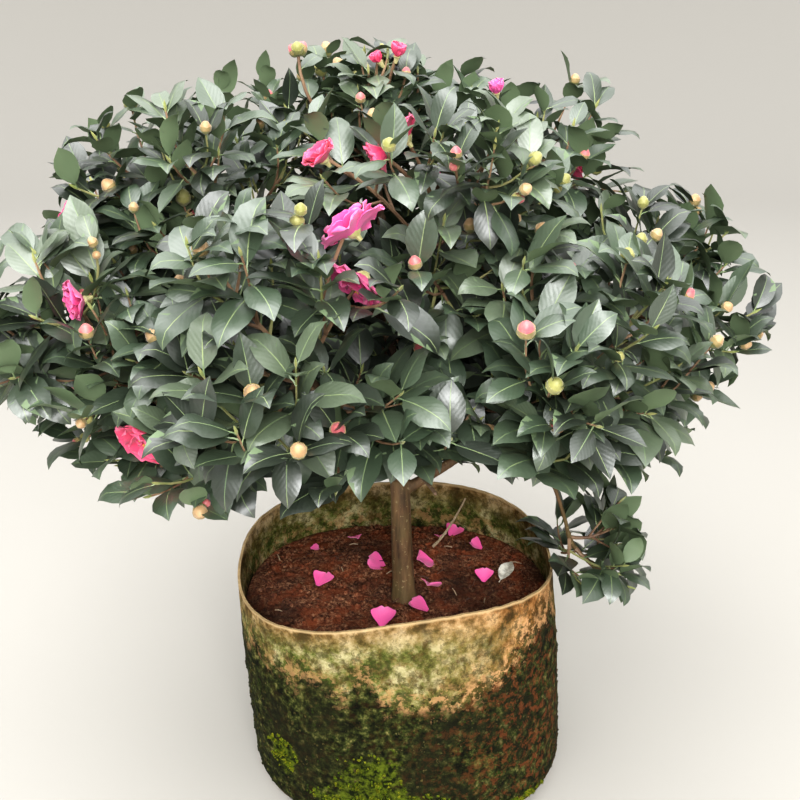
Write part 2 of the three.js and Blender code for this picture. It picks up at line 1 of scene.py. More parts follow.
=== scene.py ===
import functools
import itertools
import json
import math
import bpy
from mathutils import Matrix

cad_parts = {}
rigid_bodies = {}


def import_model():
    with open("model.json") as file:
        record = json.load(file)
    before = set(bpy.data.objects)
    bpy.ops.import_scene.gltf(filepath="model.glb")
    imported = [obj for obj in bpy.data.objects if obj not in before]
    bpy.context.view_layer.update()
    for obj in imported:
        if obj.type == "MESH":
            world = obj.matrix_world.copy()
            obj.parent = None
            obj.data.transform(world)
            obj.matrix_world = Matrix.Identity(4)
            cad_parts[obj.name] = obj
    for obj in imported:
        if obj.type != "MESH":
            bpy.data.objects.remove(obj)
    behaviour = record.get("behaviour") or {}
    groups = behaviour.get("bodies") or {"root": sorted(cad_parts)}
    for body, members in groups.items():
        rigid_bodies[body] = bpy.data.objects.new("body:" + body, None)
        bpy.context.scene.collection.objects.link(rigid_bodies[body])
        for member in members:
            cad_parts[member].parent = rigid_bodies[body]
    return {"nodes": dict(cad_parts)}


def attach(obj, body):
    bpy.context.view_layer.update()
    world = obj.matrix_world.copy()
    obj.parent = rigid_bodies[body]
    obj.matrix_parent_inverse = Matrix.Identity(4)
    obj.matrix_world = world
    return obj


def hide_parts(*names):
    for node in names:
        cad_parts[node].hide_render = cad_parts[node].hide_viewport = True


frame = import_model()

from types import SimpleNamespace

import bmesh
import bpy
import numpy as np
from bpy.props import FloatProperty, FloatVectorProperty, IntProperty, PointerProperty, StringProperty
from mathutils import Vector, noise
from mathutils.bvhtree import BVHTree

bl_info = {
    "name": "Potted camellia shrub",
    "version": (1, 0, 0),
    "blender": (4, 5, 0),
    "location": "3D View > Sidebar > Camellia",
    "description": "Dresses the camellia shrub with felt pot, soil, bark, twigs, leaves, buds and blooms",
    "category": "Add Mesh",
}

# The crown's rule works in millimetres, and a mesh is turned to metres when it is made.
MM = 0.001
SEED = 23
GOLDEN_ANGLE = math.radians(137.508)
UP = np.array([0.0, 0.0, 1.0])

POT = SimpleNamespace(
    height=260,
    base_radius=181,
    waist_radius=184,
    rim_radius=179,
    corner_radius=25,
    wall=3,
    depth_ratio=0.91,
    squareness=2.35,
    lean=(-16, 8),
    clearance=6,
    # Turns round the pot, rise in mm and bearing in degrees of each wave of the cut rim.
    rim_waves=((1, 7, 35), (2, 9, -68), (3, 5, -70)),
)
SOIL = SimpleNamespace(
    level=206,
    mound=7,
    lump=2.5,
    clearance=0.4,
    grid=150,
    # Each layer of clods: size in mm, seed and height in mm.
    relief=((26, 1.0, 3.0), (9, 2.0, 2.2), (4, 3.0, 1.3)),
)
TRUNK = SimpleNamespace(
    path=((-5, -19, 202), (-8, -18, 285), (-10, -15, 350), (-17, -8, 455), (-25, -3, 560), (-29, 0, 652)),
    foot_radius=13.4,
    neck_radius=10.6,
    tip_radius=4.9,
    flare=4,
    flare_height=34,
    buttresses=5,
    buttress_share=0.35,
)
CROWN = SimpleNamespace(
    middle=(-42, 0),
    depth_ratio=0.92,
    hub_height=440,
    top=833,
    floor=350,
    front_slope=0.42,
    slope_from=-50,
    # The floor rises towards both sides, too.
    side_slope=0.35,
    side_from=160,
    # Rise of the floor in front, with a gap beside the trunk: x and rise in mm.
    gap=((-70, 0), (-30, 42), (60, 46), (95, 28), (150, 26), (200, 8), (240, 0)),
    front=-366,
    droop_floor=246,
    droop_side=264,
    # The heart of the crown, where short sprays grow straight from the boughs.
    heart=235,
    heart_top=700,
)
# Each tier of masses: name, count, reach, height, radius, turn in degrees and rise at the front.
TIERS = (
    ("low", 7, 222, 436, 116, 25.7, 20),
    ("mid", 7, 268, 556, 130, 0, 8),
    ("high", 4, 160, 668, 124, 22, 0),
    ("top", 1, 16, 724, 96, 90, 0),
)
DROOP = SimpleNamespace(name="droop", at=(200, -22, 276), radius=66, parent="bough_low_7", key=99)
UNEVENNESS = SimpleNamespace(reach=14, height=15, radius=6)
LEAVES_REACH = 1.22
DROOP_LEAVES_REACH = 1.5

BOUGHS = SimpleNamespace(
    mid=SimpleNamespace(lowest=348, highest=436, radii=(6.2, 3.4), rise=0.55),
    high=SimpleNamespace(lowest=452, highest=520, radii=(4.6, 2.8), rise=0.75),
    low=SimpleNamespace(share=0.36, radii=(4.4, 2.9), rise=0.1),
    droop=SimpleNamespace(share=0.62, radii=(3, 2.3), rise=0.15),
    stride=3,
    stop_short=0.52,
    bend_at=0.42,
    collar=0.45,
    collar_length=9,
)
STEM = SimpleNamespace(radii=(3.2, 2.0), reach=0.5, bend_at=0.45)
SHOOT = SimpleNamespace(
    count=6,
    spread=118,
    reach=0.62,
    unevenness=0.1,
    shortest=0.3,
    pull_in=0.08,
    tip_margin=16,
    radii=(2.1, 1.4),
    start_behind=0.7,
    along_stem=(0.1, 0.94),
    swing=0.21,
    sag=0.06,
    above_floor=6,
    # Where along it a shoot is tried, and how far off the limbs and inside its space it has to be.
    tried_at=(0.35, 0.6, 0.8, 1.0),
    off_limbs=1,
    depth=2,
)
HEART_SHOOT = SimpleNamespace(count=8, first=0.22, last=0.97, size=0.8, angle=58, lift=0.5,
                              unevenness=0.25, tried_at=(0.6, 1.0))
SIDE_SHOOT = SimpleNamespace(
    first=0.26,
    last=0.99,
    angle=48,
    lift=0.3,
    # Some side shoots of the upper crown stand almost upright.
    upright_share=0.3,
    upright_lift=1.3,
    outwards=0.35,
    shortest=26,
    shrink=0.86,
    radii=(1.35, 0.9),
    overhang=10,
    off_limbs=3,
    tried_at=(0.5, 0.75, 1.0),
    # How uneven the shoots are in spacing, angle and length.
    uneven_step=0.3,
    uneven_angle=14,
    uneven_length=0.22,
    # The last one carries the shoot's tip on, almost straight and a little shorter.
    last_angle=0.25,
    last_length=0.75,
    # A side shoot stops short of the crown's edge, where its last leaves reach.
    room=22,
)
LEAF = SimpleNamespace(
    shares=(0.3, 0.47, 0.62, 0.75, 0.87, 0.93, 0.98),
    shares_on_shoot=(0.45, 0.62, 0.78, 0.92),
    angle=62,
    tip_angle=44,
    droop=0.08,
    # Leaves of the lowest masses hang more.
    hang=0.35,
    hanging=("low",),
    face_up=1.7,
    face_out=0.9,
    tries=5,
    turn_per_try=80,
    apart=14.2,
    apart_droop=16,
    # Leaves stand further apart along the crown's ragged lower edge.
    apart_low=23,
    small_at_top=0.2,
    top_band=(600, 760),
    # Leaves gather in rosettes at the shoots' tips, where the last ones are smaller.
    tip_from=0.8,
    closer_at_tip=0.6,
    small_at_tip=0.22,
    uneven_size=0.2,
    uneven_angle=12,
    uneven_hang=0.2,
    uneven_face=0.5,
    overhang=24,
    low_band=(10, 120),
    off_limbs=5,
    widest_at=0.55,
    # Leaves are looked up by cells of this size, when their spacing is tested.
    cell=24,
    petiole=7,
    thickness=1.0,
)
# Flower buds at the side shoots' tips, some with a smaller bud beside them.
FLOWER_BUDS = SimpleNamespace(
    share=0.4, sizes=(0.72, 1.22), tilt=50, second_share=0.4, second_at=0.9, second_sizes=(0.55, 0.85),
    second_tilt=70)
LEAF_BUD_SIZE = 0.9

# Tips of tall shoots that stand out of the crown's top with a cluster of buds.
TALL_SHOOT = SimpleNamespace(tips=((-105, -40, 812),), foot=0.5, bend=0.4, buds=3, angle=42)

# Open blooms: place, size against a full bloom, the way it faces, how far open it is and its petals.
BLOOMS = (
    ((-50, -248, 691), 1.0, (-0.6, 0.2, 0.66), 0.85, "light"),
    ((-43, -242, 643), 1.05, (-0.5, -0.35, -0.62), 0.85, "deep"),
    ((-8, -165, 752), 0.85, (-0.55, 0.1, 0.75), 0.5, "rose"),
    ((-26, -178, 737), 0.7, (-0.7, -0.1, -0.45), 0.45, "rose"),
    ((-77, -160, 733), 0.7, (-0.5, -0.2, 0.6), 0.55, "rose"),
    ((-285, -197, 617), 0.75, (-0.75, -0.5, -0.1), 0.6, "deep"),
    ((-229, -218, 497), 1.12, (-0.3, -0.75, -0.55), 0.7, "rose"),
    ((-12, -36, 812), 0.5, (0.2, -0.3, 0.9), 0.22, "rose"),
    ((-31, -30, 806), 0.42, (-0.5, -0.3, 0.7), 0.2, "rose"),
    ((80, -50, 780), 0.5, (-0.1, -0.35, 0.9), 0.18, "light"),
)
FAR_SIDE_BLOOMS = SimpleNamespace(
    count=6,
    first=12,
    step=31,
    places=((700, 215), (560, 335), (640, 335)),
    size=0.85,
    open_to=0.75,
    petals=("rose", "light", "deep"),
)
BLOOM_RADIUS = 25
BLOOM_FREE = 4

# The middle of the photograph's view, and a lens as long as the photograph's.
CAMERA = SimpleNamespace(place=(-0.010, -1.0244, 0.8436), pitch=21, lens=45, sensor=36)


def linear(hex_colour):
    """An sRGB hex colour as linear red, green, blue and alpha."""
    parts = [int(hex_colour[i:i + 2], 16) / 255 for i in (1, 3, 5)]
    return (*[c / 12.92 if c <= 0.04045 else ((c + 0.055) / 1.055) ** 2.4 for c in parts], 1.0)


# The sizes and colours that a user would change

class CamelliaSettings(bpy.types.PropertyGroup):
    leaf_length: FloatProperty(
        name="Leaf length", description="Length of a full leaf with its stalk",
        default=0.059, min=0.03, max=0.12, unit="LENGTH")
    leaf_width: FloatProperty(
        name="Leaf width", description="Width of a full leaf at its widest",
        default=0.0285, min=0.01, max=0.06, unit="LENGTH")
    side_shoots: IntProperty(
        name="Side shoots", description="Side shoots on each main shoot of a mass",
        default=7, min=1, max=12)
    side_shoot_length: FloatProperty(
        name="Side shoot length", description="Length of a full side shoot",
        default=0.074, min=0.03, max=0.15, unit="LENGTH")
    # The last and darkest shade, for the heart's sprays, is partly the older inner leaves' own darker tone
    # and partly painted shade inside the crown.
    leaf_shades: StringProperty(
        name="Leaf shades",
        description="Hex colours of the leaves' upper faces, dealt out by spray; the last is the heart's",
        default="#293526 #364533 #44523f #515d48 #181f17 #161c15")
    leaf_underside: StringProperty(
        name="Leaf underside", description="Hex colour of the leaves' undersides", default="#68765a")
    petal_light: FloatVectorProperty(
        name="Light petals", description="Colour of the light pink blooms",
        default=linear("#f55fae")[:3], subtype="COLOR", min=0, max=1)
    petal_deep: FloatVectorProperty(
        name="Deep petals", description="Colour of the magenta blooms",
        default=linear("#d5287c")[:3], subtype="COLOR", min=0, max=1)
    petal_rose: FloatVectorProperty(
        name="Rose petals", description="Colour of the rose-red blooms",
        default=linear("#e83468")[:3], subtype="COLOR", min=0, max=1)


# Seeded numbers and directions

def draw(key, salt):
    """A number from 0 to 1 that is always the same for the same pair of keys."""
    mask = 0xFFFFFFFF
    bits = ((SEED * 7919 + key * 131 + salt + 1) * 0x9E3779B1) & mask
    bits = ((bits ^ (bits >> 15)) * 0x85EBCA6B) & mask
    bits = ((bits ^ (bits >> 13)) * 0xC2B2AE35) & mask
    return (bits ^ (bits >> 16)) / 4294967296


def swing(key, salt, size):
    return (draw(key, salt) * 2 - 1) * size


def between(low, high, share):
    return low + (high - low) * share


def unit(way):
    return way / np.sqrt((way * way).sum())


def cross(a, b):
    return np.array([a[1] * b[2] - a[2] * b[1], a[2] * b[0] - a[0] * b[2], a[0] * b[1] - a[1] * b[0]])


def tilted(key, salt, size):
    """Almost upright, with its own small tilt."""
    return unit(np.array([swing(key, salt, size), swing(key, salt + 1, size), 1.0]))


def across_pair(way):
    """Two unit vectors square to the given direction."""
    helper = UP if abs(way[2]) < 0.9 else np.array([1.0, 0.0, 0.0])
    first = unit(cross(helper, way))
    return first, cross(way, first)


def lean(axis, angle, turn):
    """A direction at an angle from an axis, turned round it."""
    first, second = across_pair(axis)
    return (axis * math.cos(angle) + first * math.sin(angle) * math.cos(turn)
            + second * math.sin(angle) * math.sin(turn))


class Arc:
    """A quadratic curve from a start to an end over a bend."""

    def __init__(self, start, bend, end):
        self.start, self.bend, self.end = start, bend, end

    def at(self, share):
        share = np.asarray(share, float)[..., None]
        return (self.start * (1 - share) ** 2 + self.bend * 2 * share * (1 - share)
                + self.end * share ** 2)

    def way(self, share):
        return unit((self.bend - self.start) * (1 - share) + (self.end - self.bend) * share)

    def length(self):
        steps = np.diff(self.at(np.linspace(0, 1, 9)), axis=0)
        return np.sqrt((steps ** 2).sum(1)).sum()


class TrunkLine:
    """The centripetal curve through the trunk's points."""

    def __init__(self, path):
        points = np.array(path, float)
        before, after = 2 * points[0] - points[1], 2 * points[-1] - points[-2]
        self.points = np.vstack([before, points, after])

    def one(self, share):
        last = len(self.points) - 4
        place = share * (last + 1)
        step = min(int(place), last)
        weight = place - step
        p0, p1, p2, p3 = self.points[step:step + 4]
        d0, d1, d2 = [((b - a) ** 2).sum() ** 0.25 for a, b in ((p0, p1), (p1, p2), (p2, p3))]
        leave = ((p1 - p0) / d0 - (p2 - p0) / (d0 + d1) + (p2 - p1) / d1) * d1
        arrive = ((p2 - p1) / d1 - (p3 - p1) / (d1 + d2) + (p3 - p2) / d2) * d1
        second = -3 * p1 + 3 * p2 - 2 * leave - arrive
        third = 2 * p1 - 2 * p2 + leave + arrive
        return p1 + leave * weight + second * weight ** 2 + third * weight ** 3

    def at(self, share):
        share = np.asarray(share, float)
        if share.ndim == 0:
            return self.one(float(share))
        return np.array([self.one(float(s)) for s in share])

    def way(self, share):
        step = 1e-4
        return unit(self.one(min(share + step, 1.0)) - self.one(max(share - step, 0.0)))


# The pot's shape, by the rule of the solids

def pot_radius(height):
    """Radius of the pot's outer face at a height, with the soft corner at its foot."""
    waist = math.sin(math.pi * min(height / POT.height, 1))
    straight = between(POT.base_radius, POT.rim_radius, height / POT.height)
    bulge = (POT.waist_radius - (POT.base_radius + POT.rim_radius) / 2) * waist
    under = min(max(1 - height / POT.corner_radius, 0), 1)
    corner = POT.corner_radius * (1 - math.sqrt(1 - under * under))
    return straight + bulge - corner


def rim_wave(turn):
    return sum(rise * np.cos(turns * (turn - math.radians(at))) for turns, rise, at in POT.rim_waves)


def corner_share(turn):
    """How much further in the soft square of the pot lies than its circle, at a turn."""
    power = POT.squareness
    return (np.abs(np.cos(turn)) ** power + np.abs(np.sin(turn)) ** power) ** (-1 / power)


def settle(places):
    """Takes points of a plain round pot to the soft oval pot that leans and has a wavy rim."""
    turn = np.arctan2(places[..., 1], places[..., 0])
    share = places[..., 2] / POT.height
    radius = np.hypot(places[..., 0], places[..., 1]) * corner_share(turn)
    return np.stack([
        radius * np.cos(turn) + POT.lean[0] * share,
        radius * np.sin(turn) * POT.depth_ratio + POT.lean[1] * share,
        places[..., 2] + rim_wave(turn) * share ** 3], axis=-1)


def outside_pot(places):
    """True where points are clear of the filled pot and its rim."""
    share = np.minimum(places[..., 2] / POT.height, 1)
    x = places[..., 0] - POT.lean[0] * share
    y = (places[..., 1] - POT.lean[1] * share) / POT.depth_ratio
    turn = np.arctan2(y, x)
    radius = (POT.waist_radius + POT.clearance) * corner_share(turn)
    above = places[..., 2] > POT.height + POT.clearance + rim_wave(turn)
    return above | (np.hypot(x, y) > radius)


# The crown: spaces, limbs and shoots, by the rule of the solids

class Crown:
    """The spaces of the foliage masses, the limbs that reach them and what keeps leaves out."""

    def __init__(self):
        self.spaces = []
        for tier_index, tier in enumerate(TIERS):
            self.add_ring(tier_index, *tier)
        self.spaces.append(SimpleNamespace(
            name=DROOP.name, tier=DROOP.name, key=DROOP.key, centre=np.array(DROOP.at, float),
            radius=DROOP.radius))
        for i, space in enumerate(self.spaces):
            space.index = i
        self.centres = np.array([space.centre for space in self.spaces])
        self.radii = np.array([space.radius for space in self.spaces], float)
        self.apart = np.linalg.norm(self.centres[:, None] - self.centres[None], axis=2)
        np.fill_diagonal(self.apart, 1.0)
        self.hub = np.array([*CROWN.middle, CROWN.hub_height], float)
        self.blooms = [self.at_home(*bloom) for bloom in (*BLOOMS, *far_side_blooms())]
        self.bloom_places = np.array([bloom.at for bloom in self.blooms])
        self.bloom_radii = np.array([BLOOM_RADIUS * bloom.size + BLOOM_FREE for bloom in self.blooms])
        self.grow_boughs()
        self.measure_limbs()

    def add_ring(self, tier_index, name, count, reach, height, radius, turn, front_rise):
        for i in range(count):
            key = tier_index * 20 + i
            bearing = math.radians(turn + 360 / count * i)
            out = reach + swing(key, 1, UNEVENNESS.reach)
            centre = np.array([
                CROWN.middle[0] + out * math.cos(bearing),
                CROWN.middle[1] + out * math.sin(bearing) * CROWN.depth_ratio,
                height - front_rise * math.sin(bearing) + swing(key, 2, UNEVENNESS.height)])
            self.spaces.append(SimpleNamespace(
                name=f"{name}_{i + 1}", tier=name, key=key, centre=centre,
                radius=radius + swing(key, 3, UNEVENNESS.radius)))

    def depth_inside(self, places, space):
        """How far points lie inside a space's own share of the crown."""
        power = ((places[:, None] - self.centres[None]) ** 2).sum(2) - self.radii ** 2
        depth = (power - power[:, space.index, None]) / (2 * self.apart[space.index])
        depth[:, space.index] = np.inf
        return depth.min(1)

    def at_home(self, at, size, faces, openness, petals):
        place = np.array(at, float)
        depths = [self.depth_inside(place[None], space)[0] for space in self.spaces]
        return SimpleNamespace(at=place, size=size, faces=unit(np.array(faces)), openness=openness,
                               petals=petals, home=int(np.argmax(depths)))

    def clear_of_blooms(self, places):
        gaps = np.linalg.norm(places[:, None] - self.bloom_places[None], axis=2)
        return (gaps > self.bloom_radii).all(1)

    def within_reach(self, places, space, overhang, room=0):
        """True where all of the points may hold a leaf or twig of a space, with room to spare."""
        floor, reach = self.floor_under(places), LEAVES_REACH
        if space.tier == DROOP.name:
            floor, reach = CROWN.droop_floor, DROOP_LEAVES_REACH
            if (places[:, 0] > CROWN.droop_side - room).any():
                return False
        out = np.linalg.norm(places - space.centre, axis=1)
        return bool((self.depth_inside(places, space) > -overhang).all()
                    and (out < space.radius * reach - room).all()
                    and (places[:, 2] < CROWN.top - room).all()
                    and (places[:, 2] > floor + room * 0.5).all()
                    and (places[:, 1] > CROWN.front + room).all()
                    and outside_pot(places).all())

    def floor_under(self, places):
        front = CROWN.front_slope * np.maximum(CROWN.slope_from - places[:, 1], 0)
        aside = np.abs(places[:, 0] - CROWN.middle[0]) - CROWN.side_from
        gap = np.interp(places[:, 0], *np.array(CROWN.gap, float).T)
        gap = gap * (1 - smooth_step(-60, 40, places[:, 1]))
        return CROWN.floor + front + CROWN.side_slope * np.maximum(aside, 0) + gap

    def in_the_heart(self, places):
        """True where all of the points lie among the boughs, inside the ring of masses."""
        out = np.hypot(places[:, 0] - CROWN.middle[0], places[:, 1] - CROWN.middle[1])
        return bool((out < CROWN.heart).all() and (places[:, 2] > self.floor_under(places)).all()
                    and (places[:, 2] < CROWN.heart_top).all())

    def add_bough(self, start, space, spec):
        towards = space.centre - start
        end = space.centre - unit(towards) * BOUGHS.stop_short * space.radius
        span = np.linalg.norm(end - start)
        bend = start + unit(towards * [1, 1, 0]) * span * BOUGHS.bend_at
        bend[2] += span * spec.rise * BOUGHS.bend_at
        self.boughs.append(SimpleNamespace(
            name=f"bough_{space.name}", curve=Arc(start, bend, end), radii=spec.radii, space=space))

    def grow_boughs(self):
        self.trunk = SimpleNamespace(
            curve=TrunkLine(TRUNK.path), radii=(TRUNK.foot_radius, TRUNK.tip_radius))
        heights = self.trunk.curve.at(np.linspace(0, 1, 73))
        self.boughs = []
        for tier, spec in (("mid", BOUGHS.mid), ("high", BOUGHS.high)):
            ring = [space for space in self.spaces if space.tier == tier]
            for i, space in enumerate(ring):
                step = (i * BOUGHS.stride) % len(ring) / (len(ring) - 1)
                height = between(spec.lowest, spec.highest, step)
                start = heights[np.abs(heights[:, 2] - height).argmin()]
                self.add_bough(start, space, spec)
        for i, space in enumerate([space for space in self.spaces if space.tier == "low"]):
            self.add_bough(self.boughs[i].curve.at(BOUGHS.low.share), space, BOUGHS.low)
        parent = next(bough for bough in self.boughs if bough.name == DROOP.parent)
        self.add_bough(parent.curve.at(BOUGHS.droop.share), self.spaces[-1], BOUGHS.droop)

    def measure_limbs(self):
        """Short straight stretches of every limb, for the distance of a point to the bark."""
        starts, ends, radii = [], [], []
        for limb in [self.trunk, *self.boughs]:
            shares = np.linspace(0, 1, 13)
            points = limb.curve.at(shares)
            sizes = between(*limb.radii, shares)
            starts.append(points[:-1])
            ends.append(points[1:])
            radii.append(sizes[:-1])
        self.limb_starts = np.vstack(starts)
        self.limb_spans = np.vstack(ends) - self.limb_starts
        self.limb_squares = (self.limb_spans ** 2).sum(1)
        self.limb_radii = np.concatenate(radii)

    def off_limbs(self, places):
        """The least distance from each point to the bark of any limb."""
        gaps = places[:, None] - self.limb_starts[None]
        along = np.clip((gaps * self.limb_spans).sum(2) / self.limb_squares, 0, 1)
        nearest = gaps - along[..., None] * self.limb_spans
        return (np.sqrt((nearest ** 2).sum(2)) - self.limb_radii).min(1)


def far_side_blooms():
    spec = FAR_SIDE_BLOOMS
    for i in range(spec.count):
        turn = math.radians(spec.first + spec.step * i)
        height, reach = spec.places[i % len(spec.places)]
        out = np.array([math.cos(turn), math.sin(turn) * CROWN.depth_ratio, 0.0])
        at = (CROWN.middle[0] + reach * out[0], CROWN.middle[1] + reach * out[1], height)
        yield at, spec.size, (*(out[:2]), 0.4), spec.open_to, spec.petals[i % len(spec.petals)]


def grow_stem(crown, space):
    """The stem carries on from the bough's tip, or the trunk's, towards the outside of its space."""
    bough = next((limb for limb in crown.boughs if limb.space is space), crown.trunk)
    tip, ahead = bough.curve.at(1.0), bough.curve.way(1.0)
    outward = unit(space.centre - (tip if space.tier == DROOP.name else crown.hub))
    end = space.centre + outward * space.radius * STEM.reach
    bend = tip + ahead * np.linalg.norm(end - tip) * STEM.bend_at
    return Arc(tip, bend, end), outward


def shoot_tips(crown, space, outward):
    """Tips of the shoots, spread by the golden angle over a cap round the outward direction."""
    tips = []
    cap = 1 - math.cos(math.radians(SHOOT.spread))
    for i in range(SHOOT.count):
        angle = math.acos(1 - cap * ((i + 0.5) / SHOOT.count))
        way = lean(outward, angle, i * GOLDEN_ANGLE + space.key)
        reach = SHOOT.reach * (1 + swing(space.key, 20 + i, SHOOT.unevenness))
        tip = space.centre + way * space.radius * reach
        while reach > SHOOT.shortest and crown.depth_inside(tip[None], space)[0] < SHOOT.tip_margin:
            reach -= SHOOT.pull_in
            tip = space.centre + way * space.radius * reach
        if reach > SHOOT.shortest:
            tips.append(SimpleNamespace(at=tip, key=i, bloom=None))
    for bloom in crown.blooms:
        free = [tip for tip in tips if tip.bloom is None]
        if bloom.home == space.index and free:
            nearest = min(free, key=lambda tip: np.linalg.norm(tip.at - bloom.at))
            nearest.bloom = bloom
            nearest.at = bloom.at
    return tips


def grow_shoot(stem, tip):
    """A shoot leaves the stem ahead of its tip's foot, at a slant, and bends up towards its tip."""
    shares = np.linspace(0, 1, 21)
    distances = np.linalg.norm(stem.at(shares) - tip.at, axis=1)
    foot = int(distances.argmin())
    behind = distances[foot] * SHOOT.start_behind / stem.length()
    share = min(max(shares[foot] - behind, SHOOT.along_stem[0]), SHOOT.along_stem[1])
    start = stem.at(share)
    span = np.linalg.norm(tip.at - start)
    bend = (start + tip.at) / 2 + stem.way(share) * span * SHOOT.swing
    bend[2] -= span * SHOOT.sag
    return Arc(start, bend, tip.at)


class Growth:
    """Twigs, leaves and buds that grow on from the limbs, carried to side shoots in the same reach."""

    def __init__(self, leaf_length, leaf_width, side_shoots, side_length):
        self.crown = Crown()
        self.leaf_length = leaf_length
        self.leaf_width = leaf_width
        self.side_shoots = side_shoots
        self.side_length = side_length
        self.stems, self.twigs, self.leaves, self.buds = [], [], [], []
        self.taken = {}
        for space in self.crown.spaces:
            self.fill(space)
        for i, bough in enumerate(self.crown.boughs[:-1]):
            self.dress_bough(bough, i)
        for i, tip in enumerate(TALL_SHOOT.tips):
            self.raise_shoot(np.array(tip, float), i)

    def fill(self, space):
        stem, outward = grow_stem(self.crown, space)
        self.stems.append(SimpleNamespace(curve=stem, space=space))
        for tip in shoot_tips(self.crown, space, outward):
            shoot = grow_shoot(stem, tip)
            if tip.bloom is None and not self.above_floor(tip.at, space):
                continue
            if not self.shoot_fits(shoot, space):
                continue
            self.twigs.append(SimpleNamespace(curve=shoot, radii=SHOOT.radii, young=False))
            key = space.key * 40 + tip.key
            self.branch(shoot, space, key, outward, tip.bloom is not None)
            self.clothe(shoot, LEAF.shares_on_shoot, space, key, outward)
        if space.tier == "top":
            self.branch(stem, space, space.key * 40 + 30, outward, False)

    def dress_bough(self, bough, index):
        """Short leafy sprays straight from a bough, in the heart of the crown."""
        for i in range(HEART_SHOOT.count):
            key = 9000 + index * 20 + i
            share = between(HEART_SHOOT.first, HEART_SHOOT.last, i / (HEART_SHOOT.count - 1))
            start = bough.curve.at(share)
            way = lean(bough.curve.way(share), math.radians(HEART_SHOOT.angle), i * GOLDEN_ANGLE + index)
            ahead = unit(way + UP * HEART_SHOOT.lift)
            length = self.side_length * HEART_SHOOT.size * (1 + swing(key, 1, HEART_SHOOT.unevenness))
            side = Arc(start, start + way * length / 2, start + ahead * length)
            points = side.at(HEART_SHOOT.tried_at)
            clear = (self.crown.off_limbs(points) > SIDE_SHOOT.off_limbs).all()
            if clear and self.crown.in_the_heart(points):
                outward = unit((points[1] - self.crown.hub) * [1, 1, 0.4])
                self.add_side_shoot(side, None, key, outward)

    def raise_shoot(self, tip, index):
        """An upright shoot from the nearest stem, with a cluster of buds at its tip."""
        key = 9900 + index
        stem = min(self.stems, key=lambda stem: np.linalg.norm(stem.curve.at(1.0) - tip))
        foot = stem.curve.at(TALL_SHOOT.foot)
        bend = np.array([tip[0], tip[1], between(foot[2], tip[2], TALL_SHOOT.bend)])
        shoot = Arc(foot, bend, tip)
        self.twigs.append(SimpleNamespace(curve=shoot, radii=SHOOT.radii, young=False))
        self.clothe(shoot, LEAF.shares, stem.space, key, UP)
        for i in range(TALL_SHOOT.buds):
            way = lean(UP, math.radians(TALL_SHOOT.angle), i * GOLDEN_ANGLE)
            self.buds.append(SimpleNamespace(
                at=tip - UP * i, way=way, size=1.0 + swing(key, i, 0.1), kind=0.5 + 0.2 * i))

    def above_floor(self, place, space):
        floor = self.crown.floor_under(place[None])[0]
        return place[2] > (CROWN.droop_floor if space.tier == DROOP.name else floor) + SHOOT.above_floor

    def shoot_fits(self, shoot, space):
        points = shoot.at(SHOOT.tried_at)
        clear = (self.crown.off_limbs(points) > SHOOT.radii[0] + SHOOT.off_limbs).all()
        return clear and (self.crown.depth_inside(points, space) > SHOOT.depth).all()

    def branch(self, shoot, space, key, outward, has_bloom):
        """Side shoots along a shoot, and one that carries its tip on."""
        spec = SIDE_SHOOT
        for i in range(self.side_shoots - has_bloom):
            is_last = i == self.side_shoots - 1
            step = (i + 0.5 + swing(key, 200 + i, spec.uneven_step)) / self.side_shoots
            share = 1.0 if is_last else between(spec.first, spec.last, min(step, 1.0))
            angle = spec.angle + swing(key, 220 + i, spec.uneven_angle)
            length = self.side_length * (1 + swing(key, 240 + i, spec.uneven_length))
            if is_last:
                angle, length = angle * spec.last_angle, length * spec.last_length
            way = lean(shoot.way(share), math.radians(angle), i * GOLDEN_ANGLE + key)
            lift = spec.lift
            if space.tier in ("mid", "high", "top") and draw(key, 260 + i) < spec.upright_share:
                lift = spec.upright_lift
            ahead = unit(way + outward * spec.outwards + UP * lift)
            side = self.fitting_side_shoot(shoot.at(share), way, ahead, length, space)
            if side:
                self.add_side_shoot(side, space, key * 12 + i, outward)

    def fitting_side_shoot(self, start, way, ahead, length, space):
        """The longest side shoot that keeps to its space and off limbs and blooms, or None."""
        spec = SIDE_SHOOT
        while length > spec.shortest:
            side = Arc(start, start + way * length / 2, start + ahead * length)
            points = side.at(spec.tried_at)
            if self.crown.within_reach(points, space, spec.overhang, spec.room) and (
                    self.crown.off_limbs(points) > spec.off_limbs).all() and (
                    self.crown.clear_of_blooms(points).all()):
                return side
            length *= spec.shrink
        return None

    def add_side_shoot(self, side, space, key, outward):
        spec = FLOWER_BUDS
        self.twigs.append(SimpleNamespace(curve=side, radii=SIDE_SHOOT.radii, young=True))
        has_rosette = self.clothe(side, LEAF.shares, space, key, outward) > 1
        way = side.way(1.0)
        may_flower = has_rosette and space is not None and space.tier != DROOP.name
        if not may_flower or draw(key, 300) >= spec.share:
            self.buds.append(SimpleNamespace(at=side.at(1.0), way=way, size=LEAF_BUD_SIZE, kind=-1))
            return
        tilt = unit(way + lean(way, math.radians(spec.tilt), key) / 2)
        self.buds.append(SimpleNamespace(
            at=side.at(1.0), way=tilt, size=between(*spec.sizes, draw(key, 301)), kind=draw(key, 302)))
        if draw(key, 303) < spec.second_share:
            self.buds.append(SimpleNamespace(
                at=side.at(spec.second_at), way=lean(way, math.radians(spec.second_tilt), key * 2.4),
                size=between(*spec.second_sizes, draw(key, 304)), kind=draw(key, 305)))

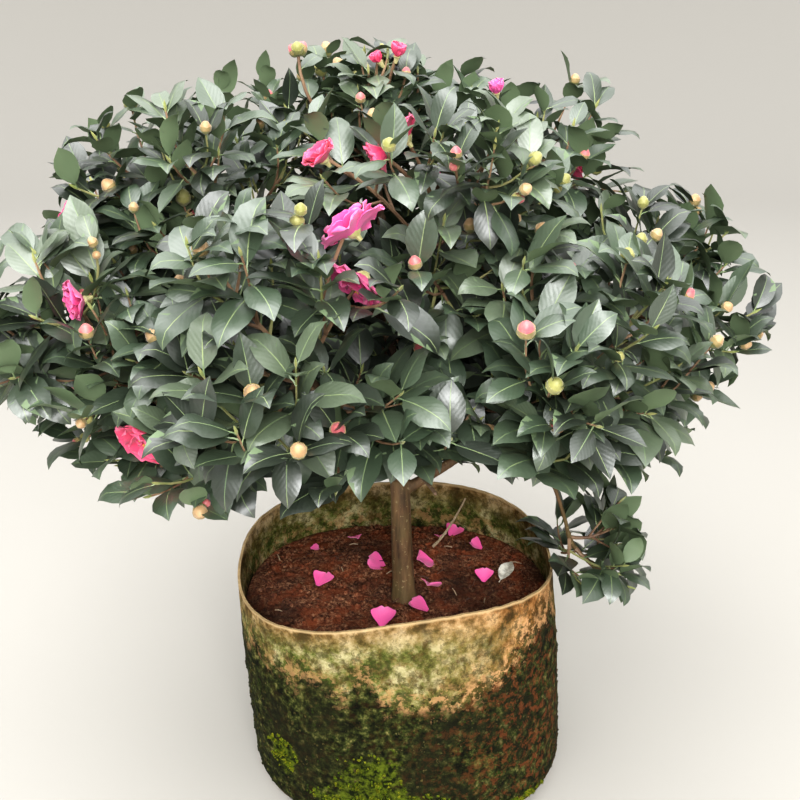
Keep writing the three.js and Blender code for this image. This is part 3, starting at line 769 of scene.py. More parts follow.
    def clothe(self, shoot, shares, space, key, outward):
        """Leaves along a shoot, each turned round it until it has room. Counts those at its tip."""
        at_tip = 0
        for i, share in reversed(list(enumerate(shares))):
            root, along = shoot.at(share), shoot.way(share)
            is_at_tip = share > LEAF.tip_from
            tip_share = max(share - LEAF.tip_from, 0) / (1 - LEAF.tip_from)
            size = (1 + swing(key, 60 + i, LEAF.uneven_size)) * (1 - LEAF.small_at_tip * tip_share)
            size *= 1 - LEAF.small_at_top * smooth_step(*LEAF.top_band, root[2])
            hang = LEAF.hang if space is not None and space.tier in LEAF.hanging else LEAF.droop
            closer = LEAF.closer_at_tip if is_at_tip and space is not None else 1
            for attempt in range(LEAF.tries):
                turn = i * GOLDEN_ANGLE + key + math.radians(attempt * LEAF.turn_per_try)
                angle = between(LEAF.angle, LEAF.tip_angle, share) + swing(key, 90 + i, LEAF.uneven_angle)
                way = lean(along, math.radians(angle), turn)
                way[2] -= hang + swing(key, 120 + i, LEAF.uneven_hang)
                way = unit(way)
                face = UP * LEAF.face_up + outward * LEAF.face_out + np.array(
                    [swing(key, 140 + i, LEAF.uneven_face), swing(key, 160 + i, LEAF.uneven_face), 0])
                face = unit(face - way * (face * way).sum())
                if self.leaf_fits(root, way, face, size, space, closer):
                    self.leaves.append(SimpleNamespace(
                        at=root, way=way, face=face, size=size, spray=key, inner=space is None,
                        variant=int(draw(key, 180 + i) * 1000)))
                    at_tip += is_at_tip
                    break
        return at_tip

    def leaf_spacing(self, middle, space):
        if space is None:
            return LEAF.apart
        if space.tier == DROOP.name:
            return LEAF.apart_droop
        low, high = LEAF.low_band
        above = middle[2] - self.crown.floor_under(middle[None])[0]
        return between(LEAF.apart_low, LEAF.apart, min(max((above - low) / (high - low), 0), 1))

    def leaf_fits(self, root, way, face, size, space, closer):
        side = cross(way, face)
        length, half = self.leaf_length * size, self.leaf_width * size * 0.5
        middle = root + way * length * LEAF.widest_at
        points = np.array([middle, root + way * length, middle + side * half, middle - side * half])
        if space is None:
            if not self.crown.in_the_heart(points):
                return False
        elif not self.crown.within_reach(points, space, LEAF.overhang):
            return False
        if (self.crown.off_limbs(points) < LEAF.off_limbs).any():
            return False
        if not self.crown.clear_of_blooms(points).all():
            return False
        apart = self.leaf_spacing(middle, space) * closer
        cell = tuple((middle // LEAF.cell).astype(int))
        for step in itertools.product((-1, 0, 1), repeat=3):
            for other in self.taken.get(tuple(map(sum, zip(cell, step))), ()):
                if ((other - middle) ** 2).sum() < apart ** 2:
                    return False
        self.taken.setdefault(cell, []).append(middle)
        return True


@functools.cache
def grown(leaf_length, leaf_width, side_shoots, side_length):
    return Growth(leaf_length, leaf_width, side_shoots, side_length)


def growth_of(settings):
    return grown(settings.leaf_length / MM, settings.leaf_width / MM, settings.side_shoots,
                 settings.side_shoot_length / MM)


# Small closed shapes and the heaps that join their copies

class Shape:
    """A small closed mesh: its places, its faces, and each face's paint."""

    def __init__(self, places, faces, paints=None, marks=None):
        self.places = np.asarray(places, float)
        self.corners = np.concatenate([np.asarray(face) for face in faces])
        self.sizes = np.array([len(face) for face in faces])
        self.paints = np.zeros(len(faces), int) if paints is None else np.asarray(paints)
        self.marks = np.zeros((len(self.places), 2)) if marks is None else np.asarray(marks, float)


class Heap:
    """Copies of small shapes, joined into one mesh."""

    def __init__(self):
        self.places, self.corners, self.sizes, self.paints, self.marks = [], [], [], [], []
        self.count = 0

    def add(self, shape, frames=None, offsets=None):
        if frames is None:
            frames, offsets = np.eye(3)[None], np.zeros((1, 3))
        copies = len(frames)
        placed = np.einsum("kij,nj->kni", frames, shape.places) + offsets[:, None]
        shift = self.count + np.arange(copies)[:, None] * len(shape.places)
        self.places.append(placed.reshape(-1, 3))
        self.corners.append((shape.corners[None] + shift).ravel())
        self.sizes.append(np.tile(shape.sizes, copies))
        self.paints.append(np.tile(shape.paints, copies))
        self.marks.append(np.tile(shape.marks, (copies, 1)))
        self.count += copies * len(shape.places)

    def to_object(self, name, materials, smooth_below=math.radians(50)):
        corners = np.concatenate(self.corners)
        sizes = np.concatenate(self.sizes)
        mesh = bpy.data.meshes.new(name)
        mesh.vertices.add(self.count)
        mesh.vertices.foreach_set("co", (np.vstack(self.places) * MM).ravel())
        mesh.loops.add(len(corners))
        mesh.polygons.add(len(sizes))
        mesh.polygons.foreach_set("loop_start", np.concatenate([[0], np.cumsum(sizes)[:-1]]))
        mesh.polygons.foreach_set("vertices", corners)
        mesh.polygons.foreach_set("material_index", np.concatenate(self.paints))
        layer = mesh.uv_layers.new(name="along")
        layer.uv.foreach_set("vector", np.vstack(self.marks)[corners].ravel())
        mesh.update(calc_edges=True)
        mesh.validate()
        piece = bpy.data.objects.new(name, mesh)
        bpy.context.scene.collection.objects.link(piece)
        for material in materials:
            mesh.materials.append(material)
        only(piece)
        bpy.ops.object.shade_smooth_by_angle(angle=smooth_below)
        return piece


def frames_of(side, way, face, sizes):
    """Turning matrices whose columns are the given axes, grown by each copy's size."""
    return np.stack([side, way, face], axis=2) * np.asarray(sizes)[:, None, None]


def standing_frames(ways, sizes, turns):
    """Frames that stand a shape's own Z along each way, turned round it."""
    frames = []
    for way, turn in zip(ways, turns):
        first, second = across_pair(way)
        side = first * math.cos(turn) + second * math.sin(turn)
        frames.append(np.stack([side, cross(way, side), way], axis=1))
    return np.array(frames) * np.asarray(sizes)[:, None, None]


def tube(points, radii, sides, paint=0):
    """A closed tapered tube along a row of points."""
    points = np.asarray(points, float)
    count = len(points)
    ahead = np.vstack([points[1:], points[-1:]]) - np.vstack([points[:1], points[:-1]])
    first = across_pair(unit(ahead[0]))[0]
    turns = np.arange(sides) / sides * 2 * math.pi
    rows = []
    for point, way, radius in zip(points, ahead, radii):
        way = unit(way)
        first = unit(first - way * (first * way).sum())
        second = cross(way, first)
        ring = np.cos(turns)[:, None] * first + np.sin(turns)[:, None] * second
        rows.append(point + ring * radius)
    faces = []
    for row in range(count - 1):
        for side in range(sides):
            here, following = row * sides + side, row * sides + (side + 1) % sides
            faces.append((here, following, following + sides, here + sides))
    faces.append(tuple(range(sides))[::-1])
    faces.append(tuple(range((count - 1) * sides, count * sides)))
    marks = np.stack([np.tile(turns / (2 * math.pi), count),
                      np.repeat(np.linspace(0, 1, count), sides)], axis=1)
    return Shape(np.vstack(rows), faces, [paint] * len(faces), marks)


# Blender helpers

def only(piece):
    """Makes a piece the only selected and the active object."""
    bpy.ops.object.select_all(action="DESELECT")
    piece.select_set(True)
    bpy.context.view_layer.objects.active = piece


def add_node(tree, kind, *sources, output="", stops=(), **named):
    """Adds a shader node and gives one of its outputs. Sources fill its sockets in order, and a name that
    starts with a capital fills that socket, each with a link, a hex colour or a plain value. Other names
    are the node's settings, and stops are the (place, hex colour or number) pairs of a colour ramp."""
    node = tree.nodes.new("ShaderNode" + kind)
    for name in [name for name in named if name.islower()]:
        setattr(node, name, named.pop(name))
    filled = [*zip([socket for socket in node.inputs if socket.enabled], sources)]
    filled += [(node.inputs[name.replace("_", " ")], source) for name, source in named.items()]
    for socket, source in filled:
        if isinstance(source, bpy.types.NodeSocket):
            tree.links.new(source, socket)
        else:
            socket.default_value = linear(source) if isinstance(source, str) else source
    elements = node.color_ramp.elements if stops else ()
    while len(elements) < len(stops):
        elements.new(1.0)
    for element, (place, tone) in zip(elements, stops):
        element.position = place
        element.color = linear(tone) if isinstance(tone, str) else (tone, tone, tone, 1)
    return node.outputs[output] if output else next(socket for socket in node.outputs if socket.enabled)


def new_material(name, colour, roughness, **values):
    """A material whose plain values are set on its shader's own sockets, and what adds nodes to it."""
    material = bpy.data.materials.new(name)
    material.use_nodes = True
    material.diffuse_color = linear(colour) if isinstance(colour, str) else colour
    sockets = material.node_tree.nodes["Principled BSDF"].inputs
    sockets["Base Color"].default_value = material.diffuse_color
    sockets["Roughness"].default_value = roughness
    for socket, value in values.items():
        sockets[socket.replace("_", " ")].default_value = value
    return material, functools.partial(add_node, material.node_tree)


def finish_material(material, colour, relief=None):
    """Links a material's pattern of colour, and its bump if it has one, to its shader."""
    tree = material.node_tree
    sockets = tree.nodes["Principled BSDF"].inputs
    tree.links.new(colour, sockets["Base Color"])
    if relief:
        tree.links.new(relief, sockets["Normal"])
    return material


def every(size):
    """The scale of a pattern whose lumps are about this many millimetres across."""
    return 1 / (size * MM)


def mottles(node, place, size, detail, stops=(), roughness=0.55):
    """A cloudy pattern with lumps this many millimetres across, bare or as the given tones."""
    cloud = node("TexNoise", Vector=place, Scale=every(size), Detail=detail, Roughness=roughness)
    return node("ValToRGB", cloud, stops=stops) if stops else cloud


def layered(node, colour, *layers):
    """Lays tones over a colour, each through its own mask."""
    for mask, tone in layers:
        colour = node("Mix", mask, colour, tone, data_type="RGBA")
    return colour


def mottled_material(name, roughness, size, detail, stops, **values):
    """A material whose only pattern is soft mottles of two or three tones."""
    material, node = new_material(name, stops[0][1], roughness, **values)
    place = node("TexCoord", output="Object")
    return finish_material(material, mottles(node, place, size, detail, stops))


def apply_modifier(piece, name, kind, **settings):
    """Adds a modifier with its settings and applies it."""
    modifier = piece.modifiers.new(name, kind)
    for setting, value in settings.items():
        setattr(modifier, setting, value)
    bpy.ops.object.modifier_apply(modifier=modifier.name)


def read_vertices(mesh, what):
    """Each vertex's place or facing, "co" or "normal", as rows of three."""
    values = np.zeros(len(mesh.vertices) * 3)
    mesh.vertices.foreach_get(what, values)
    return values.reshape(-1, 3)


def place_vertices(mesh, places):
    """Puts each vertex at its place in millimetres."""
    mesh.vertices.foreach_set("co", (places * MM).ravel())
    mesh.update()


# A slanted line along which no two points, edges or faces of a turned mesh lie at the same place.
LISTING_LINE = Vector((1.0, 0.6180339, 7.3890561))


def list_in_order(mesh):
    """Lists points, edges and faces along one line, because extrude lists them anew in each run."""
    form = bmesh.new()
    form.from_mesh(mesh)
    form.verts.sort(key=lambda vert: vert.co.dot(LISTING_LINE))
    form.edges.sort(key=lambda edge: sum(vert.co.dot(LISTING_LINE) for vert in edge.verts))
    form.faces.sort(key=lambda face: sum(vert.co.dot(LISTING_LINE) for vert in face.verts))
    form.to_mesh(mesh)
    form.free()


def finish_piece(piece, replaced=()):
    if replaced:
        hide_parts(*replaced)
    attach(piece, "root")


def nodes_named(*starts):
    return [name for name in sorted(frame["nodes"]) if name.startswith(starts)]


def smooth_step(low, high, value):
    share = np.clip((value - low) / (high - low), 0, 1)
    return share * share * (3 - 2 * share)


def noise_field(places, scale, seed=0.0):
    """Smooth noise from -1 to 1 at each place, with the given size of a lump."""
    shift = Vector((seed, seed * 1.7, seed * 2.3))
    return np.array([noise.noise(Vector(place) / scale + shift) for place in places])


# Leaves

# Side veins of the blade: waves along it, how far they slant, and their height in the relief.
VEINS = SimpleNamespace(waves=50, slant=38, height=0.045)
# How far along the blade each row is, and its half width as a share of the widest.
LEAF_OUTLINE = ((0, 0.07), (0.09, 0.46), (0.22, 0.82), (0.38, 0.99), (0.56, 0.97), (0.73, 0.74),
                (0.88, 0.33), (1, 0))
LEAF_FORMS = SimpleNamespace(count=12, fold=(0.04, 0.36), curl=(-0.06, 0.34), arch=(2, 46),
                             tip=(4, 40), twist=20, wave=0.09)


def leaf_shape(form, length, width):
    """One camellia leaf with its stalk, folded along the midrib and arched down to a bent-back tip."""
    spec = LEAF_FORMS
    fold, curl, arch, tip = [between(*limits, draw(form, salt)) for salt, limits in enumerate(
        (spec.fold, spec.curl, spec.arch, spec.tip))]
    twist = math.radians(swing(form, 5, spec.twist))
    blade = length - LEAF.petiole
    half = width / 2
    rows = len(LEAF_OUTLINE)
    steps = [0] + [b[0] - a[0] for a, b in zip(LEAF_OUTLINE, LEAF_OUTLINE[1:])]
    middle = np.array([0.0, LEAF.petiole, 0.0])
    places, marks, faces, paints = [], [], [], []
    for row, ((share, part), step) in enumerate(zip(LEAF_OUTLINE, steps)):
        bend = math.radians(6 - arch * share ** 1.4 - tip * smooth_step(0.72, 1, share))
        middle = middle + np.array([0, math.cos(bend), math.sin(bend)]) * blade * step
        normal = np.array([0, -math.sin(bend), math.cos(bend)])
        across = np.array([math.cos(twist * share), 0, 0]) + normal * math.sin(twist * share)
        wide = half * part
        rib = min(0.62 - 0.42 * share, wide * 0.4)
        if row == rows - 1:
            places.append(middle)
            marks.append((0.5, 1))
            continue
        for offset in (-wide, -0.55 * wide, -rib, rib, 0.55 * wide, wide):
            side = abs(offset) / half
            lift = fold * abs(offset) - curl * half * side ** 2
            lift += spec.wave * half * side ** 2 * math.sin(9 * share + form + (offset > 0) * 2)
            places.append(middle + across * offset + normal * lift)
            marks.append((0.5 + offset / width, share))
        places.append(middle - normal * LEAF.thickness * (1 - 0.6 * share))
        marks.append((0.5, share))
    top, columns = 7, 6
    for row in range(rows - 2):
        here, there = row * top, (row + 1) * top
        for column in range(columns - 1):
            faces.append((here + column, here + column + 1, there + column + 1, there + column))
            paints.append(1 if column == 2 else 0)
        faces.append((here, there, there + 6, here + 6))
        faces.append((here + 6, there + 6, there + 5, here + 5))
        paints += [2, 2]
    last, point = (rows - 2) * top, (rows - 1) * top
    for column in range(columns - 1):
        faces.append((last + column, last + column + 1, point))
        paints.append(1 if column == 2 else 0)
    faces.append((last, point, last + 6))
    faces.append((last + 6, point, last + 5))
    paints += [2, 2]
    faces.append((6, 5, 4, 3, 2, 1, 0))
    paints.append(2)
    stalk = tube([(0, 0, -0.2), (0, LEAF.petiole * 0.6, 0.5), (0, LEAF.petiole + 2.5, -0.2)],
                 (1.0, 0.85, 0.7), 4)
    shift = len(places)
    places += list(stalk.places)
    marks += [(0.5, 0.02)] * len(stalk.places)
    start = 0
    for size in stalk.sizes:
        faces.append(tuple(stalk.corners[start:start + size] + shift))
        paints.append(1)
        start += size
    return Shape(places, faces, paints, marks)


def leaf_blade_material(name, shade):
    # Living camellia leaf, waxy above: an even dark grey-green with a broad soft gloss, and side
    # veins that only show as a faint relief.
    material, node = new_material(name, shade, 0.44, Specular_IOR_Level=0.9, Coat_Weight=0.6,
                                  Coat_Roughness=0.34)
    place = node("TexCoord", output="Object")
    dull = node("Math", mottles(node, place, 26.3, 2), 0.3, operation="MULTIPLY")
    colour = layered(node, shade, (dull, "#5a6656"))
    # The veins slant forwards on both sides of the midrib.
    uv = node("UVMap", uv_map="along")
    across = node("Math", node("SeparateXYZ", uv, output="X"), 0.5, operation="SUBTRACT")
    aside = node("Math", node("Math", across, operation="ABSOLUTE"), VEINS.slant, operation="MULTIPLY")
    along = node("Math", node("SeparateXYZ", uv, output="Y"), VEINS.waves, operation="MULTIPLY")
    veins = node("Math", node("Math", along, aside, operation="SUBTRACT"), operation="SINE")
    ripples = mottles(node, place, 13.33, 3)
    height = node("Math", veins, VEINS.height, ripples, operation="MULTIPLY_ADD")
    return finish_material(material, colour, node("Bump", Height=height, Strength=0.35, Distance=0.0022))


def leaf_rib_material():
    # Living midrib and stalk: smooth, pale yellow-green, a little waxy.
    return mottled_material("camellia leaf midrib", 0.42, 16.67, 2, ((0.3, "#63775a"), (0.7, "#8d9a6d")))


def leaf_underside_material(shade):
    # Underside of a living leaf: paler, yellower and duller than the waxy upper face.
    return mottled_material("camellia leaf underside", 0.55, 22.2, 3, ((0, shade), (1, "#66795a")))


def build_leaves(settings):
    """Joined leaves, one piece for each shade."""
    growth = growth_of(settings)
    forms = [leaf_shape(form, growth.leaf_length, growth.leaf_width)
             for form in range(LEAF_FORMS.count)]
    shades = settings.leaf_shades.split()
    rib, underside = leaf_rib_material(), leaf_underside_material(settings.leaf_underside)
    heaps = [Heap() for _ in shades]
    dealt = [[[] for _ in forms] for _ in shades]
    for leaf in growth.leaves:
        # Leaves of the heart's sprays take the last, darkest shade: painted shade inside the crown, on top
        # of the older inner leaves' darker tone.
        shade = len(shades) - 1
        if not leaf.inner:
            shade = int(draw(leaf.spray, 400) * shade)
        dealt[shade][leaf.variant % len(forms)].append(leaf)
    for shade, (heap, by_form) in enumerate(zip(heaps, dealt)):
        for form, leaves in zip(forms, by_form):
            if not leaves:
                continue
            ways = np.array([leaf.way for leaf in leaves])
            faces = np.array([leaf.face for leaf in leaves])
            sizes = np.array([leaf.size for leaf in leaves])
            heap.add(form, frames_of(np.cross(ways, faces), ways, faces, sizes),
                     np.array([leaf.at for leaf in leaves]))
        blade = leaf_blade_material(f"camellia leaf upper face {shade + 1}", shades[shade])
        piece = heap.to_object(f"leaves_{shade + 1}", [blade, rib, underside])
        finish_piece(piece, nodes_named("foliage") if shade == 0 else ())


# Twigs

TWIG = SimpleNamespace(knots=0.12, knot_turns=19, foot=1.25, green_share=0.45)


def young_bark_material(name, low, high):
    # Young camellia shoot: thin smooth bark, tan to red-brown, green where it grew this year.
    material, node = new_material(name, low, 0.6)
    place = node("TexCoord", output="Object")
    colour = mottles(node, place, 18.2, 3, ((0.35, low), (0.7, high)))
    grain = mottles(node, place, 2.38, 2)
    return finish_material(material, colour, node("Bump", Height=grain, Strength=0.4, Distance=0.0006))


def build_twigs(settings):
    heap = Heap()
    for i, twig in enumerate(growth_of(settings).twigs):
        rings, sides = (5, 5) if twig.young else (8, 6)
        shares = np.linspace(0, 1, rings)
        radii = between(*twig.radii, shares) * (1 + TWIG.knots * np.sin(shares * TWIG.knot_turns + i))
        radii[0] *= TWIG.foot
        is_green = twig.young and draw(i, 500) < TWIG.green_share
        heap.add(tube(twig.curve.at(shares), radii, sides, int(is_green)))
    brown = young_bark_material("young camellia bark, brown", "#6b4f3c", "#a08468")
    green = young_bark_material("young camellia bark, green", "#7c8250", "#9a9468")
    finish_piece(heap.to_object("twigs", [brown, green]))


# Trunk and boughs

def trunk_radius(height, turn):
    rise = height - TRUNK.path[0][2]
    neck = TRUNK.path[2][2] - TRUNK.path[0][2]
    full = TRUNK.path[-1][2] - TRUNK.path[0][2]
    if rise < neck:
        straight = between(TRUNK.foot_radius, TRUNK.neck_radius, rise / neck)
    else:
        straight = between(TRUNK.neck_radius, TRUNK.tip_radius, (rise - neck) / (full - neck))
    flare = max(1 - rise / TRUNK.flare_height, 0) ** 2 * TRUNK.flare
    return straight + flare * (1 + TRUNK.buttress_share * math.cos(TRUNK.buttresses * turn))


BARK = SimpleNamespace(
    # Heights in metres between which the tint turns from green to red, and how strong both are.
    turns_red=(0.33, 0.46),
    algae=0.4,
    redness=0.6,
    trunk_rings=60,
    trunk_sides=28,
    # Grain of the skin, and height of its creases and knots, in mm.
    voxel=1.5,
    creases=0.32,
    knots=0.5,
)


def bark_material():
    # Bark of a young camellia trunk: thin, smooth and olive-tan, greener with algae near the soil,
    # redder on the boughs, with fine upright creases and small pale pores.
    material, node = new_material("camellia bark", "#75664a", 0.72)
    place = node("TexCoord", output="Object")
    upright = node("Mapping", Vector=place, Scale=(every(6.67), every(6.67), every(45.5)))
    streaks = node("TexNoise", Vector=upright, Scale=1, Detail=5, Roughness=0.6)
    colour = node("ValToRGB", streaks, stops=((0.3, "#3d2a19"), (0.48, "#60472e"), (0.72, "#7d6141")))
    height = node("SeparateXYZ", place, output="Z")
    near_soil, high_up = [node("MapRange", height, *BARK.turns_red, below, above)
                          for below, above in ((BARK.algae, 0), (0, BARK.redness))]
    patches = mottles(node, place, 33.3, 4, ((0.42, 0), (0.6, 1)))
    algae = node("Math", patches, near_soil, operation="MULTIPLY")
    pores = mottles(node, place, 3.85, 1, ((0.66, 0), (0.72, 0.5)))
    colour = layered(node, colour, (algae, "#5f5934"), (high_up, "#5e4c3e"), (pores, "#a3946e"))
    return finish_material(material, colour, node("Bump", Height=streaks, Strength=0.5, Distance=0.0016))


def build_limbs(settings):
    """Trunk, boughs and stems as one skin, with collars at the forks and the bark's relief."""
    growth = growth_of(settings)
    crown = growth.crown
    heap = Heap()
    points = crown.trunk.curve.at(np.linspace(0, 1, BARK.trunk_rings))
    shape = tube(points, np.ones(len(points)), BARK.trunk_sides)
    centres = np.repeat(points, BARK.trunk_sides, axis=0)
    turns = shape.marks[:, 0] * 2 * math.pi
    radii = np.array([trunk_radius(centre[2], turn) for centre, turn in zip(centres, turns)])
    shape.places = centres + (shape.places - centres) * radii[:, None]
    heap.add(shape)
    for bough in crown.boughs:
        shares = np.linspace(0, 1, 26)
        collar = np.exp(-shares * bough.curve.length() / BOUGHS.collar_length)
        radii = between(*bough.radii, shares) * (1 + BOUGHS.collar * collar)
        heap.add(tube(bough.curve.at(shares), radii, 14))
    for stem in growth.stems:
        shares = np.linspace(0, 1, 16)
        heap.add(tube(stem.curve.at(shares), between(*STEM.radii, shares), 10))
    piece = heap.to_object("bark", [bark_material()])
    apply_modifier(piece, "one skin", "REMESH", mode="VOXEL", voxel_size=BARK.voxel * MM)
    apply_modifier(piece, "soft forks", "SMOOTH", factor=0.5, iterations=4)
    mesh = piece.data
    places, facing = read_vertices(mesh, "co") / MM, read_vertices(mesh, "normal")
    creases = BARK.creases * noise_field(places * [1, 1, 0.22], 3.2)
    knots = BARK.knots * np.maximum(noise_field(places, 16, 5.0), 0)
    flat_foot = places[:, 2] < TRUNK.path[0][2] + 1
    place_vertices(mesh, places + facing * ((creases + knots) * ~flat_foot)[:, None])
    bpy.ops.object.shade_smooth()
    finish_piece(piece, nodes_named("trunk", "bough"))


# Buds

BUD = SimpleNamespace(radius=5.9, length=14, sides=10, whorls=3, top=0.92, plumpness=0.62, spin=1.3,
                      sunk=1.5)
# Each row of a whorl of scales: how far up the whorl it lies and how far it stands out, in mm.
SCALE_ROWS = ((0, 0.0), (0.5, 0.2), (1, 0.6))
LEAF_BUD = SimpleNamespace(sides=5, rings=((0.9, -1), (1.7, 3), (1.2, 7)), length=11)


def spindle(rings, tip, sides, paints, paint_of_tip):
    """A closed body through rings of (radius, height) for each side, up to a pointed tip."""
    turns = [side / sides * 2 * math.pi for side in range(sides)]
    places = [(radius * math.cos(turn), radius * math.sin(turn), height)
              for ring in rings for turn, (radius, height) in zip(turns, ring)]
    faces, face_paints = [tuple(range(sides))[::-1]], [paints[0]]
    for row in range(len(rings) - 1):
        for side in range(sides):
            here, following = row * sides + side, row * sides + (side + 1) % sides
            faces.append((here, following, following + sides, here + sides))
            face_paints.append(paints[row])
    top = (len(rings) - 1) * sides
    for side in range(sides):
        faces.append((top + side, top + (side + 1) % sides, len(places)))
        face_paints.append(paint_of_tip)
    return Shape([*places, (0, 0, tip)], faces, face_paints)


def bud_shape(pointed, paints):
    """A flower bud: scales that overlap in whorls round a plump body, with a paint for each whorl."""
    rings, ring_paints = [], []
    levels = np.linspace(0, BUD.top, BUD.whorls + 1)
    for whorl, (low, high) in enumerate(zip(levels, levels[1:])):
        for up, step in SCALE_ROWS:
            share = between(low, high, up)
            ring = []
            for side in range(BUD.sides):
                is_tip = (side + whorl) % 2 == 0 and up == 1
                rise = share + (0.05 if is_tip else 0)
                plump = math.sin(math.pi * min(rise, 1) ** pointed) ** BUD.plumpness
                radius = BUD.radius * max(plump, 0.25 if share == 0 else 0.1) + step
                ring.append((radius, rise * BUD.length))
            rings.append(ring)
            ring_paints.append(paints[whorl])
    return spindle(rings, BUD.length, BUD.sides, ring_paints, paints[-1])


def leaf_bud_shape(paint):
    """A slender leaf bud: a long pointed spindle."""
    rings = [[ring] * LEAF_BUD.sides for ring in LEAF_BUD.rings]
    return spindle(rings, LEAF_BUD.length, LEAF_BUD.sides, [paint] * len(rings), paint)


def bud_material(name, low, high, roughness=0.5):
    # Bud scale: a thin leathery scale with a short silky down, so a soft dull sheen.
    return mottled_material(name, roughness, 7.7, 3, ((0.35, low), (0.68, high)), Sheen_Weight=0.25)


def build_buds(settings):
    growth = growth_of(settings)
    heap = Heap()
    # Between which numbers a bud's kind is drawn, and its shape: leaf bud, closed, full and fresh.
    kinds = (
        (-1, 0, leaf_bud_shape(3)),
        (0, 0.46, bud_shape(0.94, (0, 1, 2))),
        (0.7, 1, bud_shape(0.8, (0, 1, 4))),
        (0.46, 0.7, bud_shape(0.9, (5, 5, 5))),
    )
    for low, high, shape in kinds:
        buds = [bud for bud in growth.buds if low <= bud.kind < high]
        frames = standing_frames([bud.way for bud in buds], [bud.size for bud in buds],
                                 np.arange(len(buds)) * BUD.spin)
        heap.add(shape, frames, np.array([bud.at - bud.way * BUD.sunk for bud in buds]))
    materials = [
        bud_material("camellia bud scales, green", "#737644", "#989458"),
        bud_material("camellia bud scales, olive cream", "#8e7e50", "#aa9266"),
        bud_material("camellia bud scales, tan peach", "#a6845c", "#bfa078"),
        bud_material("camellia leaf bud", "#7b8648", "#9c9a60"),
        bud_material("camellia bud petals, pink", "#bd5662", "#cc7e77", 0.45),
        bud_material("camellia bud scales, yellow green", "#868648", "#a4a064"),
    ]
    finish_piece(heap.to_object("buds", materials, math.radians(68)))


# Blooms

# How far along a petal each row is, and its half width as a share of the widest.
PETAL_OUTLINE = ((0, 0.2), (0.16, 0.42), (0.36, 0.74), (0.56, 0.95), (0.73, 1.0), (0.87, 0.9),
                 (0.96, 0.68), (1, 0.44))
PETAL = SimpleNamespace(length=29, width=29, columns=9, thickness=0.6, notch=0.13, ruffle=0.15)
# Each whorl of a bloom: petals, length share, and the lean at foot and rim of a full-open bloom.
WHORLS = ((5, 1.0, 58, 112), (5, 0.96, 44, 86), (4, 0.84, 28, 58), (4, 0.66, 12, 26))
# How far below a bloom's middle its foot is, and the cup of its petals when it is shut and full open.
BLOOM = SimpleNamespace(foot=9, cup=(0.5, 0.16), uneven_lean=0.16, uneven_length=0.1)
CALYX = SimpleNamespace(scales=7, length=9.5, width=11, leans=((74, 10), (62, -4)), cup=0.5, drop=2.2)
STAMENS = SimpleNamespace(open_from=0.6, count=26, spread=(6, 28), length=13, uneven_length=2)


def petal_places(length, width, foot_lean, rim_lean, cup, key, shift=0.0):
    """Rows of points over one petal that stands off the bloom's own axis, Z."""
    rows = []
    out, up = 2.2, 0.0
    last = 0.0
    for share, part in PETAL_OUTLINE:
        angle = math.radians(between(foot_lean, rim_lean, share ** 0.8))
        out += math.sin(angle) * length * (share - last)
        up += math.cos(angle) * length * (share - last)
        last = share
        normal = (-math.cos(angle), math.sin(angle))
        row = []
        for column in np.linspace(-1, 1, PETAL.columns):
            x = column * part * width / 2
            lift = cup * width / 2 * part * column ** 2
            lift += (PETAL.ruffle * width / 2 * share ** 2
                     * (math.sin(column * 3.4 + key) + 0.35 * math.sin(column * 6.5 + key * 2.1)))
            back = length * share ** 5 * (
                PETAL.notch * math.exp(-(column / 0.34) ** 2) + 0.2 * column ** 2)
            row.append((x, out + normal[0] * (lift + shift) - math.sin(angle) * back,
                        up + normal[1] * (lift + shift) - math.cos(angle) * back))
        rows.append(row)
    return np.array(rows)


def shell(upper, lower, paint=0):
    """A closed thin shell between two grids of points."""
    rows, columns = upper.shape[:2]
    count = rows * columns
    grid = np.arange(count).reshape(rows, columns)
    faces = []
    for r in range(rows - 1):
        for c in range(columns - 1):
            a, b, d, e = grid[r, c], grid[r, c + 1], grid[r + 1, c + 1], grid[r + 1, c]
            faces.append((a, b, d, e))
            faces.append((e + count, d + count, b + count, a + count))
    rim = [*grid[0, :], *grid[1:, -1], *grid[-1, -2::-1], *grid[-2:0:-1, 0]]
    for a, b in zip(rim, rim[1:] + rim[:1]):
        faces.append((b, a, a + count, b + count))
    marks = np.stack(np.meshgrid(np.linspace(0, 1, columns), np.linspace(0, 1, rows)), axis=-1)
    marks = np.vstack([marks.reshape(-1, 2)] * 2)
    return Shape(np.vstack([upper.reshape(-1, 3), lower.reshape(-1, 3)]), faces,
                 [paint] * len(faces), marks)


def turn_z(turn):
    """The matrix that turns a shape round its own Z."""
    return np.array([[math.cos(turn), -math.sin(turn), 0], [math.sin(turn), math.cos(turn), 0], [0, 0, 1]])


def petal_shape(length, width, foot_lean, rim_lean, cup, key, paint=0):
    upper = petal_places(length, width, foot_lean, rim_lean, cup, key, PETAL.thickness)
    lower = petal_places(length, width, foot_lean, rim_lean, cup, key)
    return shell(upper, lower, paint)


